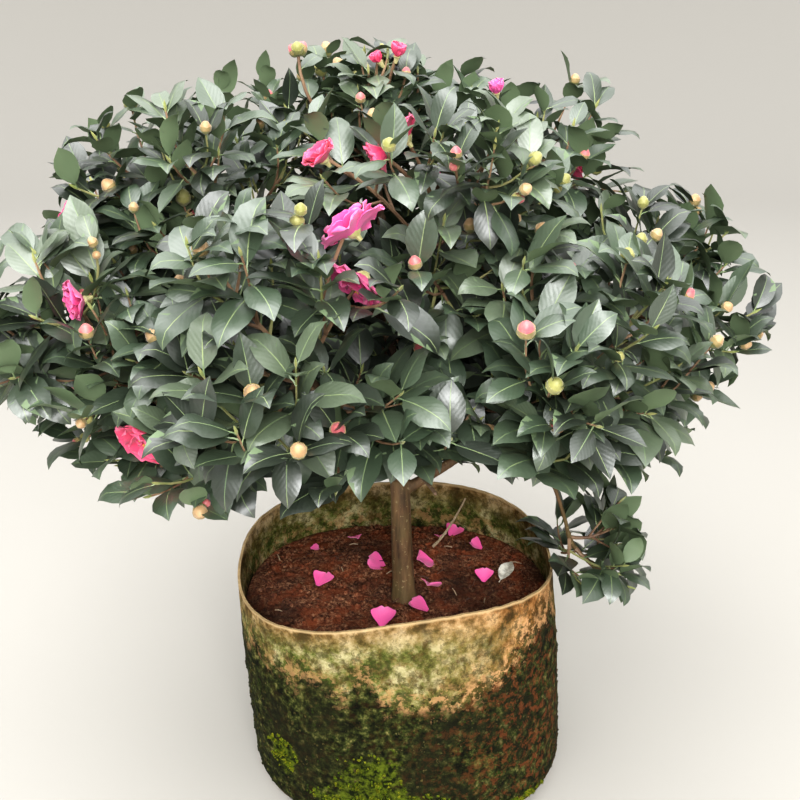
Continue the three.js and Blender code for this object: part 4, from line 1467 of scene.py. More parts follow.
def add_bloom(heap, bloom, key, paint):
    """One bloom: whorls of ruffled petals in a cup of scales, with its stamens if it is wide open."""
    first, second = across_pair(bloom.faces)
    base = np.stack([first, second, bloom.faces], axis=1) * bloom.size
    foot = bloom.at - bloom.faces * BLOOM.foot * bloom.size
    for whorl, (count, share, foot_lean, rim_lean) in enumerate(WHORLS):
        for i in range(count):
            seed = key * 31 + whorl * 7 + i
            opened = bloom.openness * (1 + swing(seed, 3, BLOOM.uneven_lean))
            shape = petal_shape(
                PETAL.length * share * (1 + swing(seed, 1, BLOOM.uneven_length)),
                PETAL.width * between(0.75, 1, share), foot_lean * between(0.35, 1, opened),
                rim_lean * opened, between(*BLOOM.cup, bloom.openness), seed, paint)
            turn = (i + whorl * 0.5) / count * 2 * math.pi + swing(seed, 2, BLOOM.uneven_lean) + key
            heap.add(shape, (base @ turn_z(turn))[None], foot[None])
    for i in range(CALYX.scales):
        scale = petal_shape(CALYX.length, CALYX.width, *CALYX.leans[i % 2], CALYX.cup, i, 3)
        heap.add(scale, (base @ turn_z(i * GOLDEN_ANGLE))[None], (foot - bloom.faces * CALYX.drop)[None])
    heap.add(tube([foot - bloom.faces * 6, foot + bloom.faces], (1.6, 3.0), 7, 3))
    if bloom.openness > STAMENS.open_from:
        for i in range(STAMENS.count):
            angle = between(*STAMENS.spread, math.sqrt(i / STAMENS.count))
            way = lean(UP, math.radians(angle), i * GOLDEN_ANGLE)
            tip = way * (STAMENS.length + swing(key, i, STAMENS.uneven_length))
            heap.add(tube([way * 1.5, tip], (0.45, 0.35), 3, 4), base[None], foot[None])
            anther = tube([tip - way * 0.6, tip + way * 0.5, tip + way * 1.8], (0.5, 1.1, 0.4), 4, 5)
            heap.add(anther, base[None], foot[None])


def petal_material(name, colour, vein_share=0.24):
    # Living camellia petal: thin, soft and faintly translucent, paler towards its ruffled rim, with
    # fine veins along it.
    material, node = new_material(
        name, (*colour, 1), 0.55, Subsurface_Weight=0.12, Subsurface_Radius=(0.004, 0.001, 0.002),
        Subsurface_Scale=0.5, Sheen_Weight=0.2)
    uv = node("UVMap", uv_map="along")
    drawn_out = node("Mapping", Vector=uv, Scale=(26, 2.5, 1))
    veins = node("TexNoise", Vector=drawn_out, Scale=1, Detail=2, Roughness=0.55)
    along = node("SeparateXYZ", uv, output="Y")
    rim = node("Math", node("Math", along, 2, operation="POWER"), 0.34, operation="MULTIPLY")
    darker = node("Math", veins, vein_share, operation="MULTIPLY")
    veined = layered(node, (*colour, 1), (rim, "#f6b3d2"), (darker, "#b41e5e"))
    return finish_material(material, veined, node("Bump", Height=veins, Strength=0.5, Distance=0.0008))


def build_blooms(settings):
    growth = growth_of(settings)
    heap = Heap()
    paints = ("light", "deep", "rose")
    for key, bloom in enumerate(growth.crown.blooms):
        add_bloom(heap, bloom, key, paints.index(bloom.petals))
        foot = bloom.at - bloom.faces * 12 * bloom.size
        stalk = Arc(bloom.at, foot - bloom.faces * 4, foot)
        heap.add(tube(stalk.at(np.linspace(0, 1, 4)), (1.6, 1.6, 1.8, 2.0), 6, 3))
    materials = [petal_material(f"camellia petal, {name}", tuple(getattr(settings, f"petal_{name}")))
                 for name in paints]
    materials += [
        bud_material("camellia calyx scales", "#9c9a5f", "#c3b98a"),
        # Stamens: thin cream threads, each with a dusty yellow anther.
        bud_material("camellia stamen threads", "#e6dcae", "#f0e8c8"),
        bud_material("camellia anthers", "#d9a52c", "#e8c04a", 0.8),
    ]
    finish_piece(heap.to_object("blooms", materials))


# The felt pot

FELT = SimpleNamespace(
    columns=260,
    rows=74,
    corner_rows=8,
    # Each wave of the slack wall: size in mm, how much it is drawn out in height, seed and depth in mm.
    folds=((62, 0.45, 0, 2.6), (24, 1, 3, 1.1)),
    drawn_in=1.2,
    # Nicks of the cut rim, and how soon they fade below it.
    nick=9,
    nick_depth=0.9,
    nick_fade=12,
    # Each size of crust on the wall: size in mm, seed and height in mm.
    crusts=((13, 2, 1.1), (5, 4, 0.3)),
)
WALL_ATTRIBUTES = ("below_rim", "below_moss_line", "sunny_side", "bright_moss")
# Bearing in degrees of the side that the sun has bleached, and how wide it is.
SUNNY_SIDE = SimpleNamespace(bearing=-40, width=32)


def pot_wall_rows():
    """Heights of the rows up the pot's wall, close together round its soft corner."""
    corner = POT.corner_radius * (1 - np.cos(np.linspace(0, math.pi / 2, FELT.corner_rows + 1)))
    wall = np.linspace(POT.corner_radius, POT.height, FELT.rows - FELT.corner_rows)[1:]
    return np.concatenate([corner, wall])


# Cushions of bright moss: bearing in degrees, height, half width and half height in millimetres.
MOSS_CUSHIONS = ((-133, 76, 22, 24), (-101, 62, 36, 46), (-108, 30, 46, 26), (-84, 34, 30, 22),
                 (-48, 12, 40, 12), (15, 52, 38, 34), (24, 26, 44, 20), (88, 30, 50, 30), (97, 62, 24, 26),
                 (150, 70, 30, 34), (165, 28, 44, 24))

# Depth of the band below the rim that is clear of moss, in mm, at each bearing in degrees.
CLEAN_BAND = ((-180, 40), (-160, 34), (-149, 56), (-146, 40), (-141, 40), (-138, 54), (-128, 58),
              (-115, 68), (-108, 78), (-104, 56), (-99, 56), (-95, 92), (-90, 94), (-78, 90), (-66, 86),
              (-55, 68), (-42, 36), (-25, 22), (-16, 70), (-8, 140), (0, 120), (10, 60), (40, 62),
              (90, 48), (130, 66), (180, 40))


# The felt's clouds of pattern: size of a lump in mm, detail, roughness and distortion. The fibres are
# drawn coarser than real ones, which are too fine to show.
FELT_CLOUDS = {
    "fibres": (2.38, 2, 0.7, 0),
    "broad": (71.4, 4, 0.6, 0),
    "medium": (26.3, 5, 0.65, 0),
    "fine": (8.7, 5, 0.68, 0),
    "patches": (29.4, 6, 0.72, 0),
    "mottles": (9.1, 5, 0.8, 0),
    "stains": (11.76, 6, 0.8, 0.3),
    "crusts": (11.1, 5, 0.72, 0),
    "specks": (6.25, 4, 0.75, 0),
}


def felt_material():
    # Needle-punched felt of plastic fibre, cut and sewn to a bag and long outdoors: tan where clean,
    # a film of green algae below the rim, tan crusts of lime, then dark moss over most of the wall.
    material, node = new_material("weathered grow pot felt", "#7c6c43", 0.92, Specular_IOR_Level=0.1)
    place = node("TexCoord", output="Object")
    height = node("SeparateXYZ", place, output="Z")
    clouds = {name: node("TexNoise", Vector=place, Scale=every(size), Detail=detail, Roughness=rough,
                         Distortion=distortion)
              for name, (size, detail, rough, distortion) in FELT_CLOUDS.items()}
    below, line, sunny, bright = [node("Attribute", attribute_name=name, output="Fac")
                                  for name in WALL_ATTRIBUTES]
    # How much of each finish shows in the shade and on the sunny side.
    in_sun, algae_share, rust_share, crust_share = [
        node("MapRange", sunny, To_Min=shade, To_Max=sun)
        for shade, sun in ((0, 0.85), (1, 0.2), (0.06, 0.76), (0.45, 0.95))]
    colour = node("ValToRGB", clouds["medium"], stops=(
        (0.4, "#523e22"), (0.48, "#80663e"), (0.56, "#a98f68"), (0.65, "#c8b08a")))
    sunlit = node("ValToRGB", clouds["medium"], stops=(
        (0.42, "#3f2a15"), (0.49, "#764a22"), (0.57, "#a4703e"), (0.65, "#bb8c5c")))
    green = node("ValToRGB", clouds["patches"], stops=(
        (0.42, "#37421b"), (0.48, "#5f6530"), (0.54, "#878456"), (0.62, "#b2aa80")))
    film = node("Mix", 0.45, clouds["medium"], clouds["fine"], data_type="RGBA")
    film = node("ValToRGB", film, stops=((0.36, 0.1), (0.5, 1)))
    under_rim = node("MapRange", below, From_Min=0.004, From_Max=0.03)
    algae = node("Math", node("Math", under_rim, film, operation="MULTIPLY"), algae_share,
                 operation="MULTIPLY")
    # The moss line is ragged, and dark mottles gather towards it.
    wander = node("MapRange", clouds["medium"], To_Min=-0.0375, To_Max=0.0375)
    fray = node("MapRange", clouds["fine"], To_Min=-0.025, To_Max=0.025)
    ragged = node("Math", wander, fray, operation="ADD")
    edge = node("Math", line, ragged, operation="ADD")
    nearing = node("MapRange", edge, From_Min=-0.1, From_Max=-0.01, To_Min=0.2625, To_Max=0.75)
    mottled = node("ValToRGB", clouds["mottles"], stops=((0.49, 0), (0.57, 1)))
    dark = node("Math", nearing, mottled, operation="MULTIPLY")
    mossy = node("MapRange", edge, From_Min=-0.003, From_Max=0.006)
    moss = node("ValToRGB", clouds["fine"], stops=(
        (0.36, "#0c0e07"), (0.47, "#1e220e"), (0.55, "#32371a"), (0.61, "#4c5028"), (0.69, "#7a7248")))
    deep = node("ValToRGB", clouds["broad"], stops=((0.45, 0), (0.62, 0.8)))
    stains = node("ValToRGB", clouds["stains"], stops=((0.5, 0), (0.58, 1)))
    rust = node("Math", stains, rust_share, operation="MULTIPLY")
    moss = layered(node, moss, (deep, "#1b1c10"), (rust, "#6a3c22"))
    # Crusts of tan lime along the moss line, and lichen specks below it.
    gap = node("Math", node("Math", edge, 0.004, operation="ADD"), operation="ABSOLUTE")
    near_line = node("MapRange", gap, From_Min=0.024, From_Max=0.004)
    crusts = node("ValToRGB", clouds["crusts"], stops=((0.5, 0), (0.56, 1)))
    lime = node("Math", node("Math", near_line, crusts, operation="MULTIPLY"), crust_share,
                operation="MULTIPLY")
    specks = node("ValToRGB", clouds["specks"], stops=((0.64, 0), (0.7, 0.6)))
    # Cushions of bright moss, a scuffed seam along the base, and a pale band at the rim that is partly
    # the cut edge's own paler felt and partly a painted highlight on the rim's top.
    raised = node("Math", bright, 1, operation="SUBTRACT")
    tufts = node("Math", clouds["medium"], 1.4, raised, operation="MULTIPLY_ADD")
    cushion = node("ValToRGB", tufts, stops=((0.2, 0), (0.34, 0.9)))
    fresh = node("ValToRGB", clouds["fine"], stops=((0.42, "#141b07"), (0.58, "#525d17")))
    uneven = node("Math", ragged, 0.4, height, operation="MULTIPLY_ADD")
    seam = node("MapRange", uneven, From_Min=0.014, From_Max=0.003, To_Max=0.6)
    # The top few millimetres below the rim are painted pale: the cut edge's own felt and a painted
    # highlight.
    cut_edge_and_highlight = node("MapRange", below, From_Min=0.003, From_Max=0.001, To_Max=0.65)
    colour = layered(
        node, colour, (in_sun, sunlit), (algae, green), (dark, "#37321a"), (mossy, moss), (lime, "#c09468"),
        (specks, "#7d7349"), (cushion, fresh), (seam, "#8f7048"), (cut_edge_and_highlight, "#d2b68a"))
    nap = node("Mix", 0.6, clouds["fibres"], clouds["fine"], data_type="RGBA")
    return finish_material(material, colour, node("Bump", Height=nap, Strength=0.8, Distance=0.003))


def build_pot(settings):
    """The felt bag: a filled ring, pulled up row by row, settled and given its wall."""
    rows = pot_wall_rows()
    foot_radius = pot_radius(0)
    bpy.ops.object.select_all(action="DESELECT")
    bpy.ops.mesh.primitive_circle_add(vertices=FELT.columns, radius=foot_radius * MM, fill_type="NGON",
                                      location=(0, 0, 0))
    piece = bpy.context.object
    piece.name = piece.data.name = "felt_pot"
    bpy.ops.object.mode_set(mode="EDIT")
    bpy.ops.mesh.select_all(action="SELECT")
    bpy.ops.mesh.inset(thickness=0.012, depth=0)
    bpy.ops.mesh.inset(thickness=0.04, depth=0)
    bpy.ops.mesh.select_all(action="SELECT")
    bpy.ops.mesh.region_to_loop()
    for low, high in zip(rows, rows[1:]):
        bpy.ops.mesh.extrude_edges_move(TRANSFORM_OT_translate={"value": (0, 0, (high - low) * MM)})
    bpy.ops.object.mode_set(mode="OBJECT")
    mesh = piece.data
    list_in_order(mesh)
    places = read_vertices(mesh, "co") / MM
    turn, out = np.arctan2(places[:, 1], places[:, 0]), np.hypot(places[:, 0], places[:, 1])
    heights = places[:, 2].copy()
    on_wall = out > foot_radius - 0.5
    wall_radii = np.array([pot_radius(min(max(height, 0), POT.height)) for height in heights])
    radii = np.where(on_wall, wall_radii, out)
    settled = settle(np.stack([radii * np.cos(turn), radii * np.sin(turn), heights], axis=1))
    # The wet felt hangs in long shallow folds and dents, deepest at mid height.
    belly = np.sin(np.pi * np.clip(heights / POT.height, 0, 1)) * on_wall
    folds = sum(noise_field(settled * [1, 1, drawn_out], size, seed) * depth
                for size, drawn_out, seed, depth in FELT.folds)
    outward = np.stack([np.cos(turn), np.sin(turn), np.zeros(len(turn))], axis=1)
    settled += outward * ((folds - FELT.drawn_in) * belly)[:, None]
    nicks = noise_field(settled * [1, 1, 0], FELT.nick, 8.0) * FELT.nick_depth
    settled[:, 2] += nicks * (heights / POT.height) ** FELT.nick_fade
    place_vertices(mesh, settled)
    mark_finishes(mesh, settled, np.degrees(turn), heights, on_wall)
    apply_modifier(piece, "felt wall", "SOLIDIFY", thickness=POT.wall * MM, offset=-1,
                   use_even_offset=False)
    roughen_wall(mesh)
    mesh.materials.append(felt_material())
    bpy.ops.object.shade_smooth_by_angle(angle=math.radians(55))
    finish_piece(piece, ["pot"])


def mark_finishes(mesh, places, bearings, heights, on_wall):
    """Writes where the wall is under its rim, its moss line, its sunny side and its moss cushions."""
    below = POT.height - heights
    wander = noise_field(places, 30, 9.0) * 9
    line = below - np.interp(bearings, *np.array(CLEAN_BAND, float).T) + wander
    sunny = np.exp(-((bearings - SUNNY_SIDE.bearing) / SUNNY_SIDE.width) ** 2)
    bright = np.zeros(len(heights))
    for bearing, height, wide, tall in MOSS_CUSHIONS:
        beside = (bearings - bearing + 180) % 360 - 180
        across = np.radians(beside) * POT.waist_radius / wide
        bright = np.maximum(bright, 1 - np.hypot(across, (heights - height) / tall) * 0.5)
    for name, values in zip(WALL_ATTRIBUTES, (below * MM, line * MM, sunny, bright * on_wall)):
        mesh.attributes.new(name, "FLOAT", "POINT").data.foreach_set("value", values)


def roughen_wall(mesh):
    """Crusts and fibres stand up to a millimetre off the wall below the moss line."""
    below = np.zeros(len(mesh.vertices))
    mesh.attributes["below_rim"].data.foreach_get("value", below)
    places, facing = read_vertices(mesh, "co") / MM, read_vertices(mesh, "normal")
    shown = smooth_step(4, 60, below / MM) * (below / MM < POT.height - 3)
    relief = sum(noise_field(places, size, seed) * height for size, seed, height in FELT.crusts)
    places += facing * (relief * shown)[:, None]
    places[:, 2] = np.maximum(places[:, 2], 0)
    place_vertices(mesh, places)


# The soil and what lies on it

def soil_top(x, y):
    """Height of the soil's uneven top at a place, with its crumbly relief."""
    centre = settle(np.array([0.0, 0.0, SOIL.level]))
    dx, dy = x - centre[0], y - centre[1]
    turn = np.arctan2(dy, dx)
    edge = pot_radius(SOIL.level) - POT.wall
    rim = settle(np.stack([edge * np.cos(turn), edge * np.sin(turn), np.full_like(turn, SOIL.level)],
                          axis=-1))
    share = np.minimum(np.hypot(dx, dy) / np.hypot(rim[..., 0] - centre[0], rim[..., 1] - centre[1]), 1)
    lumps = np.sin(turn * 3 + share * 5) + np.sin(turn * 5 - share * 8)
    return SOIL.level + SOIL.mound * (1 - share ** 2) + SOIL.lump * lumps * share * (1 - share) * 2


def soil_material():
    # Damp potting soil: composted bark and red clay crumbs, dark red-brown, with broad dull black
    # patches and a few pale grits.
    material, node = new_material("damp potting soil", "#3c2118", 0.9, Specular_IOR_Level=0.3)
    place = node("TexCoord", output="Object")
    grain = mottles(node, place, 3.85, 5, roughness=0.7)
    clods = mottles(node, place, 20.83, 5, roughness=0.65)
    colour = node("ValToRGB", grain, stops=(
        (0.36, "#20120c"), (0.45, "#5c3526"), (0.54, "#80543b"), (0.62, "#a87f60")))
    red = node("ValToRGB", clods, stops=((0.45, 0), (0.62, 0.75)))
    # Broad patches darkened by a noise, not by the soil's relief.
    broad_dark_patches = mottles(node, place, 90.9, 3, ((0.46, 0), (0.62, 0.7)))
    grits = mottles(node, place, 3.03, 1, ((0.72, 0), (0.76, 0.55)))
    colour = layered(node, colour, (red, "#8a4526"), (broad_dark_patches, "#2c1e15"), (grits, "#8d7359"))
    lumps = node("Mix", 0.5, grain, clods, data_type="RGBA")
    return finish_material(material, colour, node("Bump", Height=lumps, Strength=0.9, Distance=0.004))


def disc_places(points):
    """Takes a square of side 2 to the unit disc."""
    x, y = points[:, 0], points[:, 1]
    return np.stack([x * np.sqrt(1 - y * y / 2), y * np.sqrt(1 - x * x / 2)], axis=1)


def build_soil(settings):
    bpy.ops.object.select_all(action="DESELECT")
    bpy.ops.mesh.primitive_grid_add(x_subdivisions=SOIL.grid, y_subdivisions=SOIL.grid, size=2)
    piece = bpy.context.object
    piece.name = piece.data.name = "soil_bed"
    edge = pot_radius(SOIL.level) - POT.wall
    disc = disc_places(read_vertices(piece.data, "co")) * (edge - SOIL.clearance)
    bed = settle(np.column_stack([disc, np.full(len(disc), float(SOIL.level))]))
    crumbs = sum(noise_field(bed, size, seed) * height for size, seed, height in SOIL.relief)
    near_edge = smooth_step(0.96, 1, np.hypot(disc[:, 0], disc[:, 1]) / edge)
    bed[:, 2] = soil_top(bed[:, 0], bed[:, 1]) + crumbs * (1 - near_edge * 0.6) - 1
    place_vertices(piece.data, bed)
    apply_modifier(piece, "soil depth", "SOLIDIFY", thickness=0.02, offset=-1)
    material = soil_material()
    piece.data.materials.append(material)
    bpy.ops.object.shade_smooth_by_angle(angle=math.radians(60))
    finish_piece(piece, ["soil"])
    build_crumbs(material)


CRUMBS = SimpleNamespace(count=2600, forms=6, radius=(1.1, 4.6), reach=0.97, tilt=0.5, lift=0.6,
                         roughness=0.32, flatness=(1, 0.85, 0.6))


def crumb_shape(key):
    """A rough clod: an octahedron with its edges halved and its corners pushed about."""
    places = [(1, 0, 0), (-1, 0, 0), (0, 1, 0), (0, -1, 0), (0, 0, 1), (0, 0, -1)]
    faces = [(0, 2, 4), (2, 1, 4), (1, 3, 4), (3, 0, 4), (2, 0, 5), (1, 2, 5), (3, 1, 5), (0, 3, 5)]
    middles, fine = {}, []
    for a, b, c in faces:
        halves = []
        for pair in ((a, b), (b, c), (c, a)):
            name = tuple(sorted(pair))
            if name not in middles:
                middles[name] = len(places)
                places.append(tuple(unit(np.array(places[pair[0]]) + np.array(places[pair[1]], float))))
            halves.append(middles[name])
        ab, bc, ca = halves
        fine += [(a, ab, ca), (ab, b, bc), (ca, bc, c), (ab, bc, ca)]
    rough = np.array([np.array(place) * (1 + swing(key, i, CRUMBS.roughness))
                      for i, place in enumerate(places)])
    return Shape(rough * CRUMBS.flatness, fine)


def build_crumbs(material):
    heap = Heap()
    edge = (pot_radius(SOIL.level) - POT.wall) * CRUMBS.reach
    for form in range(CRUMBS.forms):
        keys = range(form, CRUMBS.count, CRUMBS.forms)
        turns = np.array([draw(key, 601) * 2 * math.pi for key in keys])
        outs = np.array([edge * math.sqrt(draw(key, 602)) for key in keys])
        level = np.full(len(keys), float(SOIL.level))
        places = settle(np.stack([outs * np.cos(turns), outs * np.sin(turns), level], axis=1))
        places[:, 2] = soil_top(places[:, 0], places[:, 1]) + CRUMBS.lift
        sizes = [between(*CRUMBS.radius, draw(key, 603) ** 3) for key in keys]
        ways = [tilted(key, 604, CRUMBS.tilt) for key in keys]
        heap.add(crumb_shape(form), standing_frames(ways, sizes, turns), places)
    finish_piece(heap.to_object("soil_crumbs", [material], math.radians(30)))


# Fallen petals: place on the soil, bearing in degrees, size and curl.
FALLEN_PETALS = (
    (-102, 12, 60, 1.0, 0.5), (-41, 45, 170, 1.1, 0.35), (20, 52, 200, 1.05, 0.3),
    (27, -8, 235, 1.0, 0.45), (10, -45, 160, 1.05, 0.35), (-27, -68, 75, 1.05, 0.5),
    (61, 140, 60, 0.9, 0.3), (86, 99, 160, 0.8, 0.5), (91, 17, 80, 0.8, 0.8), (-118, 96, 10, 0.5, 0.3),
    (44, 122, 250, 0.6, 0.4), (-70, 118, 300, 0.7, 0.5),
)
FALLEN_PINK = "#ff62ad"
PETAL_TILT = 0.25
DEAD_LEAF = SimpleNamespace(form=3, length=58, width=24, at=(108, 10), bearing=62, size=0.72, rise=0.1,
                            face=(-0.1, -0.3, 1.0), lift=4)
DEAD_TWIG = SimpleNamespace(path=((32, 96, 214), (52, 118, 221), (76, 156, 252)), radii=(2.0, 1.2))
CHIPS = SimpleNamespace(count=70, reach=165, length=(5, 17), rise=0.12, lift=2, pale_share=0.15,
                        radii=(0.7, 0.8, 0.4))


def dead_leaf_material():
    # Old fallen leaf: dry, dull and bleached grey, blotched with brown mould.
    return mottled_material("dry fallen leaf", 0.85, 9.1, 4,
                            ((0.38, "#a39c8c"), (0.5, "#cfcabd"), (0.62, "#f0ece0")))


def dead_wood_material():
    # Dead twig: barkless and weathered to a pale dull tan.
    material, node = new_material("bleached dead twig", "#b39c80", 0.8)
    place = node("TexCoord", output="Object")
    upright = node("Mapping", Vector=place, Scale=(every(2.5), every(2.5), every(16.67)))
    grain = node("TexNoise", Vector=upright, Scale=1, Detail=3, Roughness=0.55)
    return finish_material(material, node("ValToRGB", grain, stops=((0.3, "#8c7458"), (0.7, "#c8b499"))))


def soil_height(x, y):
    return float(soil_top(np.array(x), np.array(y)))


def build_litter(settings):
    petals = Heap()
    for i, (x, y, bearing, size, curl) in enumerate(FALLEN_PETALS):
        shape = petal_shape(PETAL.length * 0.74, PETAL.width * 0.9, 86 - curl * 30, 92 - curl * 70,
                            0.12 + curl * 0.35, i * 1.7)
        shape.places -= shape.places.mean(0) * [1, 1, 0]
        frames = standing_frames([tilted(i, 701, PETAL_TILT)], [size * 1.1], [math.radians(bearing)])
        petals.add(shape, frames, np.array([[x, y, soil_height(x, y) + 2.6]]))
    pink = petal_material("fallen camellia petal", linear(FALLEN_PINK)[:3], 0.06)
    finish_piece(petals.to_object("fallen_petals", [pink]))
    litter = Heap()
    leaf = leaf_shape(DEAD_LEAF.form, DEAD_LEAF.length, DEAD_LEAF.width)
    leaf.paints = np.zeros(len(leaf.paints), int)
    turn = math.radians(DEAD_LEAF.bearing)
    way = unit(np.array([math.cos(turn), math.sin(turn), DEAD_LEAF.rise]))
    face = np.array(DEAD_LEAF.face)
    face = unit(face - way * (face * way).sum())
    frames = np.stack([cross(way, face), way, face], axis=1)[None] * DEAD_LEAF.size
    x, y = DEAD_LEAF.at
    litter.add(leaf, frames, np.array([[x, y, soil_height(x, y) + DEAD_LEAF.lift]]))
    shares = np.linspace(0, 1, 8)
    line = Arc(*np.array(DEAD_TWIG.path, float)).at(shares)
    litter.add(tube(line, between(*DEAD_TWIG.radii, shares), 6, 1))
    for key in range(900, 900 + CHIPS.count):
        turn, out = draw(key, 1) * 2 * math.pi, CHIPS.reach * math.sqrt(draw(key, 2))
        x, y = POT.lean[0] + out * math.cos(turn), POT.lean[1] + out * math.sin(turn) * POT.depth_ratio
        start = np.array([x, y, soil_height(x, y) + CHIPS.lift])
        way = unit(np.array([swing(key, 4, 1), swing(key, 5, 1), CHIPS.rise]))
        reach = way * between(*CHIPS.length, draw(key, 3))
        is_pale = draw(key, 6) < CHIPS.pale_share
        litter.add(tube([start, start + reach / 2 + UP, start + reach], CHIPS.radii, 4,
                        1 if is_pale else 2))
    # Bits of composted bark: fibrous chips, dull dark red-brown.
    chips = young_bark_material("composted bark chips", "#3a2116", "#6b422c")
    finish_piece(litter.to_object("litter", [dead_leaf_material(), dead_wood_material(), chips]))


# Moss on the pot

# Tufts of the bright cushions are tallest in the middle, and those of the dark film are low all over.
# Each kind grows where a noise with patches of this size in mm is above its least.
BRIGHT_MOSS = SimpleNamespace(count=3600, key=2000, growth=(1.7, 0.7), patch=7, least=-0.3)
DARK_MOSS = SimpleNamespace(count=2200, key=11000, growth=(0.2, 0.45), patch=26, least=-0.12,
                            band=(8, 178))
TUFT = SimpleNamespace(height=(1.6, 4.0), width=1.5, unevenness=0.5, lift=0.25, lowest=3, highest=190)


def moss_material(name, low, high):
    # Living cushion moss: tiny soft leaves, dull and velvety, bright yellow-green when wet.
    return mottled_material(name, 0.9, 7.14, 3, ((0.35, low), (0.68, high)), Specular_IOR_Level=0.1)


def wall_place(wall, turn, height):
    """A point on the pot's outer wall and the way that the wall faces there."""
    radius = POT.waist_radius * 1.4
    outside = settle(np.array([radius * math.cos(turn), radius * math.sin(turn), height]))
    at, facing, _, _ = wall.find_nearest(Vector(outside * MM))
    return np.array(at) / MM, np.array(facing)


def bright_tufts():
    """Key, turn round the pot, height and growth of each tuft of the cushions."""
    for i in range(BRIGHT_MOSS.count):
        key = BRIGHT_MOSS.key + i
        bearing, height, wide, tall = MOSS_CUSHIONS[i % len(MOSS_CUSHIONS)]
        out, spin = math.sqrt(draw(key, 1)), draw(key, 2) * 2 * math.pi
        yield (key, math.radians(bearing) + out * math.cos(spin) * wide / POT.waist_radius,
               height + out * math.sin(spin) * tall, between(*BRIGHT_MOSS.growth, out))


def dark_tufts():
    for key in range(DARK_MOSS.key, DARK_MOSS.key + DARK_MOSS.count):
        yield (key, draw(key, 1) * 2 * math.pi, between(*DARK_MOSS.band, draw(key, 2)),
               between(*DARK_MOSS.growth, draw(key, 7)))


def build_moss(settings):
    tuft = Shape([(-1, -1, -0.5), (1, -1, -0.5), (1, 1, -0.5), (-1, 1, -0.5), (0.1, 0, 1)],
                 [(3, 2, 1, 0), (0, 1, 4), (1, 2, 4), (2, 3, 4), (3, 0, 4)])
    heap = Heap()
    wall = BVHTree.FromObject(bpy.data.objects["felt_pot"], bpy.context.evaluated_depsgraph_get())
    for kind, (spec, tufts) in enumerate(((BRIGHT_MOSS, bright_tufts()), (DARK_MOSS, dark_tufts()))):
        frames, offsets = [], []
        for key, turn, height, growth in tufts:
            if not TUFT.lowest < height < TUFT.highest:
                continue
            at, facing = wall_place(wall, turn, height)
            if noise.noise(Vector(at) / spec.patch) < spec.least:
                continue
            uneven = np.array([swing(key, salt, TUFT.unevenness) for salt in (3, 4, 5)])
            way = unit(facing + uneven + UP * TUFT.lift)
            tall = between(*TUFT.height, draw(key, 6)) * growth
            first, second = across_pair(way)
            frames.append(np.stack([first * TUFT.width, second * TUFT.width, way * tall], axis=1))
            offsets.append(at)
        half = len(frames) // 2
        for paint, part in ((kind * 2, slice(0, half)), (kind * 2 + 1, slice(half, None))):
            tuft.paints = np.full(len(tuft.sizes), paint)
            heap.add(tuft, np.array(frames[part]), np.array(offsets[part]))
    materials = [
        moss_material("bright cushion moss", "#323e0e", "#5e6d18"),
        moss_material("yellow cushion moss", "#4e5414", "#7a7a1e"),
        moss_material("dark wall moss", "#171d0c", "#2f3a16"),
        moss_material("brown wall moss", "#2a2715", "#4a4326"),
    ]
    finish_piece(heap.to_object("moss", materials))


# Stage

SWEEP = SimpleNamespace(floor=4.2, bend=2.6, steps=14)
SKY = SimpleNamespace(colour="#eef1f4", strength=0.12)
# Each light: name, place, what it points at, size in metres and power in watts.
LIGHTS = (
    ("sky", (0, 0, 4.5), (0, 0, 0), 12.0, 900),
    ("key", (-0.6, -1.3, 3.0), (0, 0, 0.5), 2.0, 62),
    ("front", (0.2, -2.7, 1.7), (0, 0, 0.25), 1.4, 98),
)


def build_stage(settings):
    """A pale paper floor that sweeps up all round, soft studio light and the photograph's camera."""
    bpy.ops.object.select_all(action="DESELECT")
    bpy.ops.mesh.primitive_circle_add(vertices=96, radius=SWEEP.floor, fill_type="NGON", location=(0, 0, 0))
    floor = bpy.context.object
    floor.name = floor.data.name = "floor"
    bpy.ops.object.mode_set(mode="EDIT")
    bpy.ops.mesh.select_all(action="SELECT")
    bpy.ops.mesh.region_to_loop()
    turns = np.radians(np.linspace(0, 90, SWEEP.steps + 1))
    outs, ups = SWEEP.floor + SWEEP.bend * np.sin(turns), SWEEP.bend * (1 - np.cos(turns))
    for low, high, rise in zip(outs, outs[1:], np.diff(ups)):
        bpy.ops.mesh.extrude_edges_move(TRANSFORM_OT_translate={"value": (0, 0, rise)})
        bpy.ops.transform.resize(value=(high / low, high / low, 1))
    bpy.ops.object.mode_set(mode="OBJECT")
    list_in_order(floor.data)
    bpy.ops.object.shade_smooth_by_angle(angle=math.radians(30))
    # Matt studio paper: even, pale and without gloss.
    floor.data.materials.append(
        new_material("matt studio paper", "#a9a6a0", 0.9, Specular_IOR_Level=0.2)[0])
    scene = bpy.context.scene
    scene.world = bpy.data.worlds.new("soft studio")
    scene.world.use_nodes = True
    background = scene.world.node_tree.nodes["Background"].inputs
    background["Color"].default_value = linear(SKY.colour)
    background["Strength"].default_value = SKY.strength
    for name, place, target, size, power in LIGHTS:
        data = bpy.data.lights.new(name, "AREA")
        data.size = size
        data.energy = power
        light = bpy.data.objects.new(name, data)
        light.location = place
        light.rotation_euler = (Vector(target) - Vector(place)).to_track_quat("-Z", "Y").to_euler()
        scene.collection.objects.link(light)
    data = bpy.data.cameras.new("camera")
    data.lens = CAMERA.lens
    data.sensor_width = CAMERA.sensor
    camera = bpy.data.objects.new("camera", data)
    camera.location = CAMERA.place
    camera.rotation_euler = (math.radians(90 - CAMERA.pitch), 0, 0)
    scene.collection.objects.link(camera)
    scene.camera = camera
    scene.view_settings.view_transform = "Standard"
    scene.view_settings.look = "Medium High Contrast"


# Operators and panel

